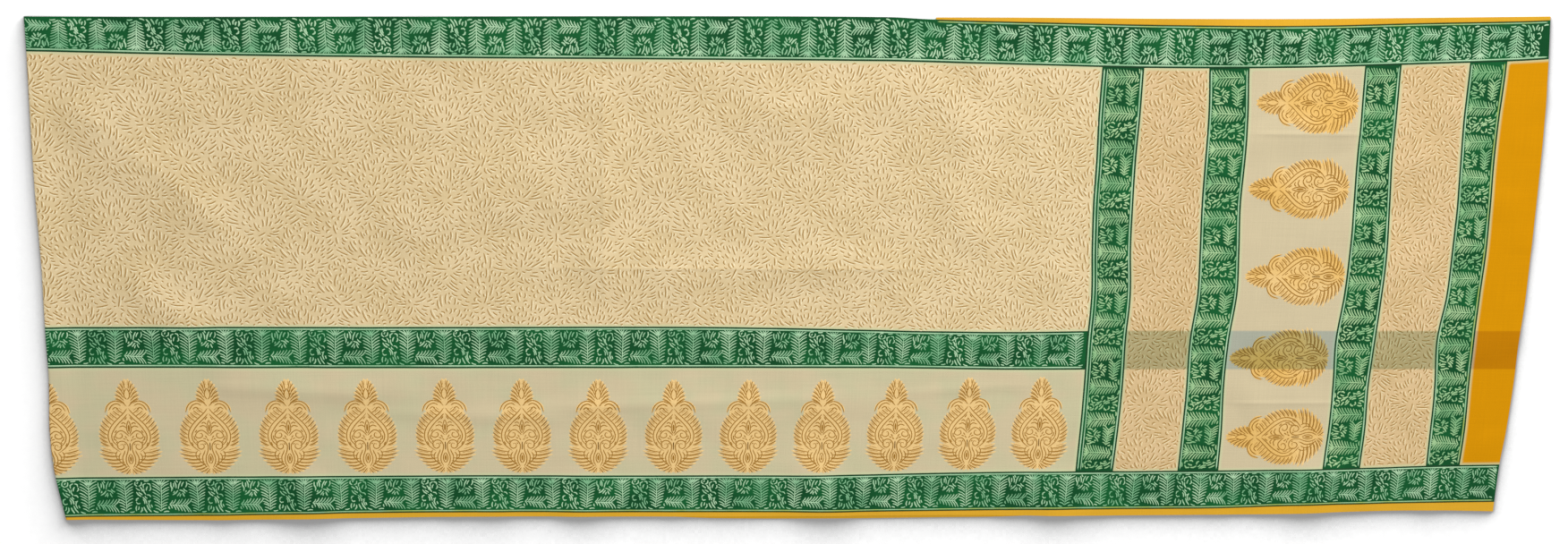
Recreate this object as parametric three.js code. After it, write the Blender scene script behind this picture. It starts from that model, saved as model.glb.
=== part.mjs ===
// A printed silk saree, folded once in half and laid flat: the body with its motif strip and
// borders on the left, the pallu with its cross bands on the right, the other half underneath.
// Millimetres. +X runs along the cloth to the pallu's end, +Y across it to the upper edge, +Z up.
// The origin is on the surface that the cloth lies on, under the middle of its outline.

import * as THREE from 'three';

const wall = 1.2; // one layer of cloth, with the unevenness of its weave
const layerGap = 0.3; // between the two layers
const seamGap = 0.3; // between neighbouring panels
const foldRadius = 2.4; // of the middle of the cloth where it turns over at the left
const foldTurnUnder = 15; // cloth past the fold that lies on the surface
const foldSettle = 60; // the bulge beside the fold dies out over this length
const foldSettleParts = [0.2, 0.4, 0.65];
const foldArcSteps = 6;
const underInset = 4; // the under layer's edges lie this far inside the upper layer's
const rimRound = 0.4; // rounding of the under layer's rim
const underLengthSteps = 48;
const underSideSteps = 8;
const meetRounds = 6;
const topMiddle = wall + layerGap + wall / 2; // height of the middle of the upper layer

// Seams and edges that run along the cloth: how far each lies towards the upper edge, at places
// along the length. The yellow edge at the top shows right of selvedgeStart, and is turned under
// left of it. The body and its motif strip end at the first cross band, and so do their columns.
const selvedgeStart = 235;
const lengthwise = [
  { x: -1582, hemUpper: 514.5, bandUpper: 514.5, bodyTop: 445.5, bodyFoot: -124.5, stripTop: -212.5 },
  { x: -1275, hemUpper: 517.5, bandUpper: 517.5, bodyTop: 442, bodyFoot: -123.5, stripTop: -212.5 },
  { x: -850, hemUpper: 524, bandUpper: 524, bodyTop: 441.5, bodyFoot: -123.5, stripTop: -213.5 },
  { x: -200, hemUpper: 533.5, bandUpper: 533.5, bodyTop: 444.5, bodyFoot: -122.5, stripTop: -213.5 },
  { x: 160, hemUpper: 536.5, bandUpper: 536.5, bodyTop: 446, bodyFoot: -129, stripTop: -214 },
  { x: 240, hemUpper: 537, bandUpper: 533.5, bodyTop: 445, bodyFoot: -131, stripTop: -215 },
  { x: 470, hemUpper: 539.5, bandUpper: 530.5, bodyTop: 441.5, bodyFoot: -133, stripTop: -218 },
  { x: 735, hemUpper: 541, bandUpper: 528.5, bodyTop: 438.5, bodyFoot: -128.5, stripTop: -216.5 },
  { x: 1020, hemUpper: 544.5, bandUpper: 530.5, bodyTop: 442.5 },
  { x: 1290, hemUpper: 550.5, bandUpper: 540, bodyTop: 453 },
  { x: 1500, hemUpper: 555.5, bandUpper: 546.5, bodyTop: 462.5 },
  { x: 1582, hemUpper: 557.5, bandUpper: 550.5, bodyTop: 468 },
];

// The lower seams and edges in the same way. The under layer's hem shows past the upper layer's
// from about a quarter to two thirds of the length, and is hidden elsewhere.
const lengthwiseLow = [
  { x: -1582, stripFoot: -453, bandLower: -541.5, hemLower: -547, underHem: -542 },
  { x: -1256, stripFoot: -452.5, bandLower: -541, hemLower: -551, underHem: -544 },
  { x: -1000, stripFoot: -452.5, bandLower: -538, hemLower: -549, underHem: -544 },
  { x: -700, stripFoot: -452.5, bandLower: -537, hemLower: -547, underHem: -543 },
  { x: -340, stripFoot: -455, bandLower: -539.5, hemLower: -549.5, underHem: -548 },
  { x: -185, stripFoot: -455.5, bandLower: -540.5, hemLower: -550.5, underHem: -555 },
  { x: 70, stripFoot: -456, bandLower: -542, hemLower: -550.5, underHem: -557.5 },
  { x: 288, stripFoot: -452.5, bandLower: -541, hemLower: -550.5, underHem: -556.5 },
  { x: 450, stripFoot: -450.5, bandLower: -540, hemLower: -552, underHem: -555.5 },
  { x: 610, stripFoot: -450.5, bandLower: -539.5, hemLower: -554, underHem: -549 },
  { x: 930, stripFoot: -450, bandLower: -539, hemLower: -554, underHem: -548 },
  { x: 1095, stripFoot: -448.5, bandLower: -534.5, hemLower: -553, underHem: -547 },
  { x: 1258, stripFoot: -445.5, bandLower: -531.5, hemLower: -548.5, underHem: -543 },
  { x: 1423, stripFoot: -441, bandLower: -529, hemLower: -547.5, underHem: -542 },
  { x: 1582, stripFoot: -439, bandLower: -528, hemLower: -551, underHem: -545 },
];

// Seams that run across the cloth: how far each lies towards the pallu's end, at places across
// the width. Each cross band lies between its two columns, and the panels between the bands.
const crossNear = [
  { y: 434, one: 610, oneEnd: 699, two: 838, twoEnd: 924 },
  { y: 340, one: 608, oneEnd: 698, two: 843, twoEnd: 930 },
  { y: 243, one: 609, oneEnd: 695, two: 843, twoEnd: 931 },
  { y: 147, one: 608, oneEnd: 695, two: 843, twoEnd: 929 },
  { y: 48, one: 611, oneEnd: 697, two: 846, twoEnd: 934 },
  { y: -50, one: 616, oneEnd: 703, two: 848, twoEnd: 937 },
  { y: -152, one: 613, oneEnd: 699, two: 839, twoEnd: 927 },
  { y: -254, one: 612, oneEnd: 699, two: 839, twoEnd: 924 },
  { y: -356, one: 609, oneEnd: 695, two: 837, twoEnd: 927 },
  { y: -450, one: 605, oneEnd: 689, two: 834, twoEnd: 926 },
];
const crossFar = [
  { y: 434, three: 1172, threeEnd: 1251, four: 1399, fourEnd: 1480 },
  { y: 340, three: 1173, threeEnd: 1252, four: 1398, fourEnd: 1477 },
  { y: 243, three: 1173, threeEnd: 1252, four: 1401, fourEnd: 1477 },
  { y: 147, three: 1175, threeEnd: 1257, four: 1404, fourEnd: 1480 },
  { y: 48, three: 1176, threeEnd: 1260, four: 1404, fourEnd: 1482 },
  { y: -50, three: 1173, threeEnd: 1258, four: 1402, fourEnd: 1479 },
  { y: -152, three: 1163, threeEnd: 1253, four: 1391, fourEnd: 1477 },
  { y: -254, three: 1166, threeEnd: 1249, four: 1397, fourEnd: 1477 },
  { y: -356, three: 1166, threeEnd: 1251, four: 1398, fourEnd: 1479 },
  { y: -450, three: 1161, threeEnd: 1247, four: 1398, fourEnd: 1475 },
];

// The two short ends of the outline: the fold at the left and the pallu's end at the right.
const ends = [
  { y: 557, fold: -1570, pallu: 1563 },
  { y: 440, fold: -1570.5, pallu: 1572 },
  { y: 320, fold: -1573, pallu: 1578 },
  { y: 170, fold: -1575, pallu: 1581 },
  { y: 0, fold: -1573.5, pallu: 1582 },
  { y: -80, fold: -1575, pallu: 1581.5 },
  { y: -160, fold: -1576, pallu: 1578 },
  { y: -240, fold: -1576, pallu: 1578 },
  { y: -350, fold: -1582, pallu: 1574 },
  { y: -440, fold: -1579, pallu: 1567 },
  { y: -550, fold: -1562, pallu: 1565 },
];

// The largest soft folds: where the middle of each lies, how its crest is turned from +X,
// its length, the half width of its swell and its height. The last ones are waves in the hems.
const folds = [
  { x: -1356, y: 224, turn: -40, length: 520, halfWidth: 60, height: 4.5 },
  { x: -1330, y: -80, turn: -37, length: 260, halfWidth: 45, height: 4 },
  { x: -637, y: 165, turn: 15, length: 620, halfWidth: 75, height: 4 },
  { x: -140, y: 5, turn: 0, length: 1100, halfWidth: 45, height: 2.8 },
  { x: -425, y: 165, turn: 90, length: 600, halfWidth: 45, height: 1.8 },
  { x: -1020, y: -255, turn: -5, length: 520, halfWidth: 42, height: 3.4 },
  { x: -240, y: -300, turn: 2, length: 900, halfWidth: 45, height: 2.4 },
  { x: 330, y: 210, turn: 86, length: 380, halfWidth: 60, height: 2.8 },
  { x: 60, y: 350, turn: 8, length: 560, halfWidth: 70, height: 3 },
  { x: 1055, y: 302, turn: 0, length: 300, halfWidth: 42, height: 2.4 },
  { x: 1080, y: -294, turn: 0, length: 300, halfWidth: 42, height: 2.4 },
  { x: 1240, y: -60, turn: 78, length: 420, halfWidth: 55, height: 3 },
  { x: 1000, y: 500, turn: 2, length: 500, halfWidth: 45, height: 3 },
  { x: -1060, y: -530, turn: 84, length: 260, halfWidth: 60, height: 3 },
  { x: -480, y: -530, turn: 97, length: 220, halfWidth: 55, height: 2.6 },
  { x: 40, y: -530, turn: 88, length: 260, halfWidth: 60, height: 3.2 },
  { x: 560, y: -530, turn: 94, length: 220, halfWidth: 60, height: 2.6 },
  { x: 1130, y: -530, turn: 82, length: 260, halfWidth: 60, height: 3 },
  { x: -780, y: 520, turn: 95, length: 220, halfWidth: 60, height: 2.4 },
  { x: 330, y: 525, turn: 84, length: 240, halfWidth: 60, height: 2.8 },
];

const colours = { green: 0x1a6e42, tan: 0xdfc699, celadon: 0xcbc29a, grey: 0xd0c29f, yellow: 0xdc9b10 };

const mix = THREE.MathUtils.lerp;

// A smooth line through one column of a table, as a function of the table's first column.
function lineThrough(table, column) {
  const along = Object.keys(table[0])[0];
  const knots = table.filter((row) => row[column] !== undefined).sort((a, b) => a[along] - b[along]);
  const last = knots.length - 1;
  const slopes = knots.map((row, i) => {
    const before = knots[Math.max(i - 1, 0)];
    const after = knots[Math.min(i + 1, last)];
    return (after[column] - before[column]) / (after[along] - before[along]);
  });
  return (value) => {
    let i = 0;
    while (i < last - 1 && value > knots[i + 1][along]) i += 1;
    const span = knots[i + 1][along] - knots[i][along];
    const t = THREE.MathUtils.clamp((value - knots[i][along]) / span, 0, 1);
    const ease = t * t * (3 - 2 * t);
    const bend = span * t * (1 - t) * ((1 - t) * slopes[i] - t * slopes[i + 1]);
    return mix(knots[i][column], knots[i + 1][column], ease) + bend;
  };
}

const edge = {
  fold: lineThrough(ends, 'fold'),
  pallu: lineThrough(ends, 'pallu'),
  hemUpper: lineThrough(lengthwise, 'hemUpper'),
  hemLower: lineThrough(lengthwiseLow, 'hemLower'),
  underHem: lineThrough(lengthwiseLow, 'underHem'),
};

// How far the folds lift the cloth off the layer below.
function swell(x, y) {
  let rise = 0;
  for (const fold of folds) {
    const turn = THREE.MathUtils.degToRad(fold.turn);
    const along = (x - fold.x) * Math.cos(turn) + (y - fold.y) * Math.sin(turn);
    const aside = (y - fold.y) * Math.cos(turn) - (x - fold.x) * Math.sin(turn);
    const fade = 1 - THREE.MathUtils.smoothstep(Math.abs(along), fold.length / 4, fold.length / 2);
    rise += fold.height * fade * Math.exp(-((aside / fold.halfWidth) ** 2));
  }
  return rise;
}

// Lines of the cloth's grid that run along it, from the lower hem to the upper one.
const rowBands = [
  { name: 'selvedgeLower', from: edge.hemLower, to: lineThrough(lengthwiseLow, 'bandLower'), steps: 1 },
  { name: 'borderLower', to: lineThrough(lengthwiseLow, 'stripFoot'), steps: 2 },
  { name: 'strip', to: lineThrough(lengthwise, 'stripTop'), steps: 6 },
  { name: 'borderInner', to: lineThrough(lengthwise, 'bodyFoot'), steps: 2 },
  { name: 'body', to: lineThrough(lengthwise, 'bodyTop'), steps: 12 },
  { name: 'borderUpper', to: lineThrough(lengthwise, 'bandUpper'), steps: 2 },
  { name: 'selvedgeUpper', to: edge.hemUpper, steps: 1 },
];

// Lines that run across it. Each has its place, the height of the cloth's middle there and the
// share of the folds' swell that it takes.
const columns = [{ x: (y) => edge.fold(y) + foldTurnUnder, height: wall / 2, share: 0 }];
for (let i = 0; i <= foldArcSteps; i += 1) {
  const turn = Math.PI * (i / foldArcSteps - 0.5);
  const inward = wall / 2 + foldRadius * (1 - Math.cos(turn));
  const height = wall / 2 + foldRadius * (1 + Math.sin(turn));
  columns.push({ x: (y) => edge.fold(y) + inward, height, share: 0 });
}
const crest = wall / 2 + 2 * foldRadius;
for (const part of foldSettleParts) {
  const share = THREE.MathUtils.smoothstep(part, 0, 1);
  columns.push({ x: (y) => edge.fold(y) + part * foldSettle, height: mix(crest, topMiddle, share), share });
}
const columnBands = [
  { name: 'body', from: (y) => edge.fold(y) + foldSettle, to: lineThrough(crossNear, 'one'), steps: 36 },
  { name: 'bandOne', to: lineThrough(crossNear, 'oneEnd'), steps: 2 },
  { name: 'panelOne', to: lineThrough(crossNear, 'two'), steps: 3 },
  { name: 'bandTwo', to: lineThrough(crossNear, 'twoEnd'), steps: 2 },
  { name: 'panelTwo', to: lineThrough(crossFar, 'three'), steps: 4 },
  { name: 'bandThree', to: lineThrough(crossFar, 'threeEnd'), steps: 2 },
  { name: 'panelThree', to: lineThrough(crossFar, 'four'), steps: 3 },
  { name: 'bandFour', to: lineThrough(crossFar, 'fourEnd'), steps: 2 },
  { name: 'end', to: edge.pallu, steps: 2 },
];

// Splits each band into its steps and notes which of the grid's lines it starts and ends at.
function splitBands(bands, lines, makeLine) {
  const range = {};
  let from = bands[0].from;
  lines.push(makeLine(from));
  for (const band of bands) {
    const start = lines.length - 1;
    const near = from;
    for (let step = 1; step <= band.steps; step += 1) {
      lines.push(makeLine((at) => mix(near(at), band.to(at), step / band.steps)));
    }
    range[band.name] = [start, lines.length - 1];
    from = band.to;
  }
  return range;
}

const rows = [];
const rowRange = splitBands(rowBands, rows, (y) => ({ y }));
const columnRange = splitBands(columnBands, columns, (x) => ({ x, height: topMiddle, share: 1 }));

// The points of the cloth's middle, where each row meets each column, found in a few rounds
// because the rows bend with x and the columns with y, and the way out of the cloth there.
const middle = rows.map((row) => columns.map((column) => {
  let x = 0;
  let y = 0;
  for (let round = 0; round < meetRounds; round += 1) {
    y = row.y(x);
    x = column.x(y);
  }
  return new THREE.Vector3(x, y, column.height + column.share * swell(x, y));
}));
const outward = middle.map((row, j) => row.map((point, k) => {
  const acrossCloth = new THREE.Vector3().subVectors(
    middle[Math.min(j + 1, rows.length - 1)][k],
    middle[Math.max(j - 1, 0)][k],
  );
  const alongCloth = new THREE.Vector3().subVectors(
    row[Math.min(k + 1, row.length - 1)],
    row[Math.max(k - 1, 0)],
  );
  return alongCloth.cross(acrossCloth).normalize();
}));

// A panel's copy of a grid point, drawn in by half the seam gap where the panel ends.
function panelPoint(j, k, [rowFirst, rowLast], [columnFirst, columnLast]) {
  const point = middle[j][k].clone();
  const drawIn = (neighbour) => {
    point.add(new THREE.Vector3().subVectors(neighbour, middle[j][k]).setLength(seamGap / 2));
  };
  if (j === rowFirst && j > 0) drawIn(middle[j + 1][k]);
  if (j === rowLast && j < rows.length - 1) drawIn(middle[j - 1][k]);
  if (k === columnFirst && k > 0) drawIn(middle[j][k + 1]);
  if (k === columnLast && k < columns.length - 1) drawIn(middle[j][k - 1]);
  return point;
}

// One panel of the upper layer: a closed wall between two rows and two columns of the grid.
function clothPanel(name, colour, rowSpan, columnSpan) {
  const high = rowSpan[1] - rowSpan[0];
  const wide = columnSpan[1] - columnSpan[0];
  const points = [];
  for (const side of [1, -1]) {
    for (let j = 0; j <= high; j += 1) {
      for (let k = 0; k <= wide; k += 1) {
        const point = panelPoint(rowSpan[0] + j, columnSpan[0] + k, rowSpan, columnSpan);
        point.addScaledVector(outward[rowSpan[0] + j][columnSpan[0] + k], side * wall / 2);
        points.push(point.x, point.y, point.z);
      }
    }
  }
  const layer = (high + 1) * (wide + 1);
  const outer = (j, k) => j * (wide + 1) + k;
  const inner = (j, k) => layer + outer(j, k);
  const faces = [];
  const quad = (a, b, c, d) => faces.push(a, b, c, a, c, d);
  for (let j = 0; j < high; j += 1) {
    for (let k = 0; k < wide; k += 1) {
      quad(outer(j, k), outer(j, k + 1), outer(j + 1, k + 1), outer(j + 1, k));
      quad(inner(j, k), inner(j + 1, k), inner(j + 1, k + 1), inner(j, k + 1));
    }
  }
  for (let k = 0; k < wide; k += 1) {
    quad(outer(0, k), inner(0, k), inner(0, k + 1), outer(0, k + 1));
    quad(outer(high, k + 1), inner(high, k + 1), inner(high, k), outer(high, k));
  }
  for (let j = 0; j < high; j += 1) {
    quad(outer(j + 1, 0), inner(j + 1, 0), inner(j, 0), outer(j, 0));
    quad(outer(j, wide), inner(j, wide), inner(j + 1, wide), outer(j + 1, wide));
  }
  const geometry = new THREE.BufferGeometry();
  geometry.setAttribute('position', new THREE.Float32BufferAttribute(points, 3));
  geometry.setIndex(faces);
  geometry.computeVertexNormals();
  return named(name, geometry, colour);
}

function named(name, geometry, colour) {
  const material = new THREE.MeshStandardMaterial({ color: colour, roughness: 0.6, metalness: 0 });
  const mesh = new THREE.Mesh(geometry, material);
  mesh.name = name;
  return mesh;
}

// The half of the cloth that lies underneath, flat on the surface, with a rounded rim. It starts
// where the fold's turned-under cloth ends.
function underLayer() {
  const underTop = (x) => edge.hemUpper(x) - underInset;
  const low = edge.underHem(0);
  const right = edge.pallu(low) - underInset;
  const start = middle.map((row) => row[0]);
  const left = start[0].x + seamGap;
  const leftSide = start.filter((point) => point.y > edge.underHem(left) + 1 && point.y < underTop(left) - 1);
  const outline = [];
  for (let i = 0; i <= underLengthSteps; i += 1) {
    const x = mix(left, right, i / underLengthSteps);
    outline.push(new THREE.Vector2(x, edge.underHem(x)));
  }
  for (let i = 1; i < underSideSteps; i += 1) {
    const y = mix(edge.underHem(right), underTop(right), i / underSideSteps);
    outline.push(new THREE.Vector2(edge.pallu(y) - underInset, y));
  }
  const topLeft = edge.fold(underTop(left)) + foldTurnUnder + seamGap;
  for (let i = underLengthSteps; i >= 0; i -= 1) {
    const x = mix(topLeft, right, i / underLengthSteps);
    outline.push(new THREE.Vector2(x, underTop(x)));
  }
  for (const point of leftSide.reverse()) {
    outline.push(new THREE.Vector2(point.x + seamGap, point.y));
  }
  const geometry = new THREE.ExtrudeGeometry(new THREE.Shape(outline), {
    depth: wall - 2 * rimRound,
    bevelThickness: rimRound,
    bevelSize: rimRound,
    bevelOffset: -rimRound,
    bevelSegments: 2,
    curveSegments: 1,
  });
  geometry.translate(0, 0, rimRound);
  return named('under_layer', geometry, colours.yellow);
}

const wholeLength = [0, columns.length - 1];
const bodyLength = [0, columnRange.body[1]];
const palluWidth = [rowRange.strip[0], rowRange.body[1]];
const selvedgeLength = [columns.findIndex((column) => column.x(0) > selvedgeStart), columns.length - 1];

const saree = new THREE.Group();
saree.name = 'saree';
saree.add(
  underLayer(),
  clothPanel('selvedge_lower', colours.yellow, rowRange.selvedgeLower, wholeLength),
  clothPanel('border_lower', colours.green, rowRange.borderLower, wholeLength),
  clothPanel('motif_strip', colours.celadon, rowRange.strip, bodyLength),
  clothPanel('border_inner', colours.green, rowRange.borderInner, bodyLength),
  clothPanel('body_field', colours.tan, rowRange.body, bodyLength),
  clothPanel('border_upper', colours.green, rowRange.borderUpper, wholeLength),
  clothPanel('selvedge_upper', colours.yellow, rowRange.selvedgeUpper, selvedgeLength),
  clothPanel('cross_band_1', colours.green, palluWidth, columnRange.bandOne),
  clothPanel('pallu_panel_1', colours.tan, palluWidth, columnRange.panelOne),
  clothPanel('cross_band_2', colours.green, palluWidth, columnRange.bandTwo),
  clothPanel('pallu_panel_2', colours.grey, palluWidth, columnRange.panelTwo),
  clothPanel('cross_band_3', colours.green, palluWidth, columnRange.bandThree),
  clothPanel('pallu_panel_3', colours.tan, palluWidth, columnRange.panelThree),
  clothPanel('cross_band_4', colours.green, palluWidth, columnRange.bandFour),
  clothPanel('end_panel', colours.yellow, palluWidth, columnRange.end),
);

export default saree;
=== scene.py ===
import math

import bpy
import numpy as np
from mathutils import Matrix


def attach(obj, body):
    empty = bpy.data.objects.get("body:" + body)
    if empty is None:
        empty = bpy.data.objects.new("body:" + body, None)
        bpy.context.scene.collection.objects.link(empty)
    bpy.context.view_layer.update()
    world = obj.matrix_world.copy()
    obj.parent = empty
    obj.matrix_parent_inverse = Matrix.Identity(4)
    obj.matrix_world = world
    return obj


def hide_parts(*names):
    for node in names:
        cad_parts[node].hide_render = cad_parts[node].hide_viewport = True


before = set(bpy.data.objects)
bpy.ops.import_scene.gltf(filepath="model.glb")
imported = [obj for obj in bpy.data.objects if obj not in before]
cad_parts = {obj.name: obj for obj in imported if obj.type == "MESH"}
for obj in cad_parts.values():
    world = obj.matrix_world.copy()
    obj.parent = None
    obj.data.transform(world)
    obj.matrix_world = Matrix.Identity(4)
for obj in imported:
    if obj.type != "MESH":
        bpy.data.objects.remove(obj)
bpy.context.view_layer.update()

bl_info = {
    "name": "Folded Silk Saree",
    "version": (1, 0, 0),
    "blender": (4, 5, 0),
    "location": "3D View > Sidebar > Saree",
    "description": "Builds a printed silk saree, folded once and laid flat, with its prints and borders",
    "category": "Add Mesh",
}

# The cloth's own sizes, in millimetres, as in the part. The upper layer turns over at the left and
# a little way back underneath, and has settled at some distance from the fold.
MM = 0.001
WALL = 1.2
LAYER_GAP = 0.3
SEAM_GAP = 0.3
FOLD_RADIUS = 2.4
FOLD_TURN_UNDER = 15
FOLD_SETTLE = 60
UNDER_INSET = 4
TOP_MIDDLE = WALL + LAYER_GAP + WALL / 2
CREST = WALL / 2 + 2 * FOLD_RADIUS
QUARTER = FOLD_RADIUS * math.pi / 2
# How much longer the cloth is than its outline, on the way from the fold's tip to its crest.
FOLD_SLACK = QUARTER - FOLD_RADIUS - WALL / 2
TAIL = QUARTER + FOLD_TURN_UNDER - FOLD_RADIUS - WALL / 2
SELVEDGE_START = 257
# Where the body and the pallu end, halfway up the cloth.
BODY_END = 610.0
PALLU_END = 1582.0
# About half the folded length, to look up where a seam meets the fold or the pallu's end.
HALF_LENGTH = 1580
# Where the prints that run along the cloth start, somewhere left of the fold.
PRINT_START = -1600
# How the meshes are worked out: how near the fold a stroke gets more stations, how many rounds fit
# rows and columns to each other, the step that gives the cloth's slope, and the random seed.
FOLD_NEAR = 14
MEET_ROUNDS = 6
SLOPE_STEP = 0.5
SEED = 7

# Seams and edges that run along the cloth: how far each lies towards the upper edge, at places
# along the length. None stands where the body and its motif strip have ended.
LENGTHWISE = (
    ("x", "hem_upper", "band_upper", "body_top", "body_foot", "strip_top"),
    (-1582, 514.5, 514.5, 445.5, -124.5, -212.5),
    (-1275, 517.5, 517.5, 442, -123.5, -212.5),
    (-850, 524, 524, 441.5, -123.5, -213.5),
    (-200, 533.5, 533.5, 444.5, -122.5, -213.5),
    (160, 536.5, 536.5, 446, -129, -214),
    (240, 537, 533.5, 445, -131, -215),
    (470, 539.5, 530.5, 441.5, -133, -218),
    (735, 541, 528.5, 438.5, -128.5, -216.5),
    (1020, 544.5, 530.5, 442.5, None, None),
    (1290, 550.5, 540, 453, None, None),
    (1500, 555.5, 546.5, 462.5, None, None),
    (1582, 557.5, 550.5, 468, None, None),
)
LENGTHWISE_LOW = (
    ("x", "strip_foot", "band_lower", "hem_lower", "under_hem"),
    (-1582, -453, -541.5, -547, -542),
    (-1256, -452.5, -541, -551, -544),
    (-1000, -452.5, -538, -549, -544),
    (-700, -452.5, -537, -547, -543),
    (-340, -455, -539.5, -549.5, -548),
    (-185, -455.5, -540.5, -550.5, -555),
    (70, -456, -542, -550.5, -557.5),
    (288, -452.5, -541, -550.5, -556.5),
    (450, -450.5, -540, -552, -555.5),
    (610, -450.5, -539.5, -554, -549),
    (930, -450, -539, -554, -548),
    (1095, -448.5, -534.5, -553, -547),
    (1258, -445.5, -531.5, -548.5, -543),
    (1423, -441, -529, -547.5, -542),
    (1582, -439, -528, -551, -545),
)

# Seams that run across the cloth: how far each lies towards the pallu's end, at places across
# the width. Each cross band lies between its two columns.
CROSSWISE = (
    ("y", "one", "one_end", "two", "two_end", "three", "three_end", "four", "four_end"),
    (434, 610, 699, 838, 924, 1172, 1251, 1399, 1480),
    (340, 608, 698, 843, 930, 1173, 1252, 1398, 1477),
    (243, 609, 695, 843, 931, 1173, 1252, 1401, 1477),
    (147, 608, 695, 843, 929, 1175, 1257, 1404, 1480),
    (48, 611, 697, 846, 934, 1176, 1260, 1404, 1482),
    (-50, 616, 703, 848, 937, 1173, 1258, 1402, 1479),
    (-152, 613, 699, 839, 927, 1163, 1253, 1391, 1477),
    (-254, 612, 699, 839, 924, 1166, 1249, 1397, 1477),
    (-356, 609, 695, 837, 927, 1166, 1251, 1398, 1479),
    (-450, 605, 689, 834, 926, 1161, 1247, 1398, 1475),
)

# The two short ends of the outline: the fold at the left and the pallu's end at the right.
ENDS = (
    ("y", "fold", "pallu"),
    (557, -1570, 1563),
    (440, -1570.5, 1572),
    (320, -1573, 1578),
    (170, -1575, 1581),
    (0, -1573.5, 1582),
    (-80, -1575, 1581.5),
    (-160, -1576, 1578),
    (-240, -1576, 1578),
    (-350, -1582, 1574),
    (-440, -1579, 1567),
    (-550, -1562, 1565),
)

# Soft folds and creases: the middle of each, how its crest is turned from +X, its length, the
# half width of its swell and its height. The creases are where the cloth was pressed in storage.
RIDGE_COLUMNS = ("x", "y", "turn", "length", "half_width", "height")
FOLDS = (
    (-1356, 224, -40, 520, 60, 4.5),
    (-1330, -80, -37, 260, 45, 4),
    (-637, 165, 15, 620, 75, 4),
    (-140, 5, 0, 1100, 45, 2.8),
    (-425, 165, 90, 600, 45, 1.8),
    (-1020, -255, -5, 520, 42, 3.4),
    (-240, -300, 2, 900, 45, 2.4),
    (330, 210, 86, 380, 60, 2.8),
    (60, 350, 8, 560, 70, 3),
    (1055, 302, 0, 300, 42, 2.4),
    (1080, -294, 0, 300, 42, 2.4),
    (1240, -60, 78, 420, 55, 3),
    (1000, 500, 2, 500, 45, 3),
    (-1060, -530, 84, 260, 60, 3),
    (-480, -530, 97, 220, 55, 2.6),
    (40, -530, 88, 260, 60, 3.2),
    (560, -530, 94, 220, 60, 2.6),
    (1130, -530, 82, 260, 60, 3),
    (-780, 520, 95, 220, 60, 2.4),
    (330, 525, 84, 240, 60, 2.8),
)
CREASES = (
    (-140, 5, 0, 1050, 5, 0.7),
    (1065, 302, 0, 290, 5, 0.7),
    (1065, -294, 0, 290, 5, 0.7),
    (-425, 165, 90, 600, 6, 0.5),
    (-1100, -262, -3, 440, 14, 1.6),
    (-250, -292, 2, 760, 12, 1.4),
    (-720, -318, -2, 520, 14, 1.4),
    (330, -262, 3, 380, 12, 1.2),
    (-1356, 224, -41, 440, 13, 0.8),
    (-1180, 60, -32, 300, 14, 0.6),
)
CREASE_ROWS = (5, 302, -294)
CREASE_COLUMNS = (-425,)
CREASE_OFFSETS = (-11, -8, -5.5, -3, -1, 1, 3, 5.5, 8, 11)
CREASE_CLEAR = 13

# The cloth is never quite flat: waves too slight to place one by one, as the length of each
# along and across the cloth, its phase and its height.
RIPPLES = (
    (410, 260, 0.4, 0.4),
    (-270, 330, 1.9, 0.35),
    (190, -240, 3.1, 0.28),
    (120, 170, 5.0, 0.2),
    (-95, 140, 0.9, 0.16),
    (640, -110, 2.2, 0.3),
)

# Where the under layer's inner border lies below the pallu and shows through its thin panels.
SHOW_THROUGH = {"low": -217, "high": -130, "left": 650, "soft": 5}


def named_rows(columns, rows):
    return [dict(zip(columns, row)) for row in rows]


def ease(low, high, value):
    """A smooth step from 0 at low to 1 at high."""
    t = np.clip((value - low) / (high - low), 0, 1)
    return t * t * (3 - 2 * t)


def line_through(table, column):
    """A smooth line through one column of a table, as a function of the table's first column."""
    at_column, value_column = 0, table[0].index(column)
    knots = sorted((row[at_column], row[value_column]) for row in table[1:]
                   if row[value_column] is not None)
    at, value = (np.array(numbers, float) for numbers in zip(*knots))
    before = np.maximum(np.arange(len(at)) - 1, 0)
    after = np.minimum(np.arange(len(at)) + 1, len(at) - 1)
    slope = (value[after] - value[before]) / (at[after] - at[before])

    def line(place):
        place = np.asarray(place, float)
        i = np.clip(np.searchsorted(at, place) - 1, 0, len(at) - 2)
        span = at[i + 1] - at[i]
        t = np.clip((place - at[i]) / span, 0, 1)
        bend = span * t * (1 - t) * ((1 - t) * slope[i] - t * slope[i + 1])
        return value[i] + (value[i + 1] - value[i]) * t * t * (3 - 2 * t) + bend

    return line


SEAM = {
    name: line_through(table, name)
    for table in (LENGTHWISE, LENGTHWISE_LOW, CROSSWISE, ENDS)
    for name in table[0][1:]
}


def moved(line, by):
    return lambda at: line(at) + by


def ridges(rows, x, y):
    """How far the soft folds or creases of a table lift the cloth."""
    rise = 0
    for ridge in named_rows(RIDGE_COLUMNS, rows):
        turn = math.radians(ridge["turn"])
        along = (x - ridge["x"]) * math.cos(turn) + (y - ridge["y"]) * math.sin(turn)
        aside = (y - ridge["y"]) * math.cos(turn) - (x - ridge["x"]) * math.sin(turn)
        fade = 1 - ease(ridge["length"] / 4, ridge["length"] / 2, np.abs(along))
        rise = rise + ridge["height"] * fade * np.exp(-(aside / ridge["half_width"]) ** 2)
    return rise


def ripples(x, y):
    rise = 0
    for along, across, phase, height in RIPPLES:
        rise = rise + height * np.sin(2 * math.pi * (x / along + y / across) + phase)
    return rise


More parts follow.
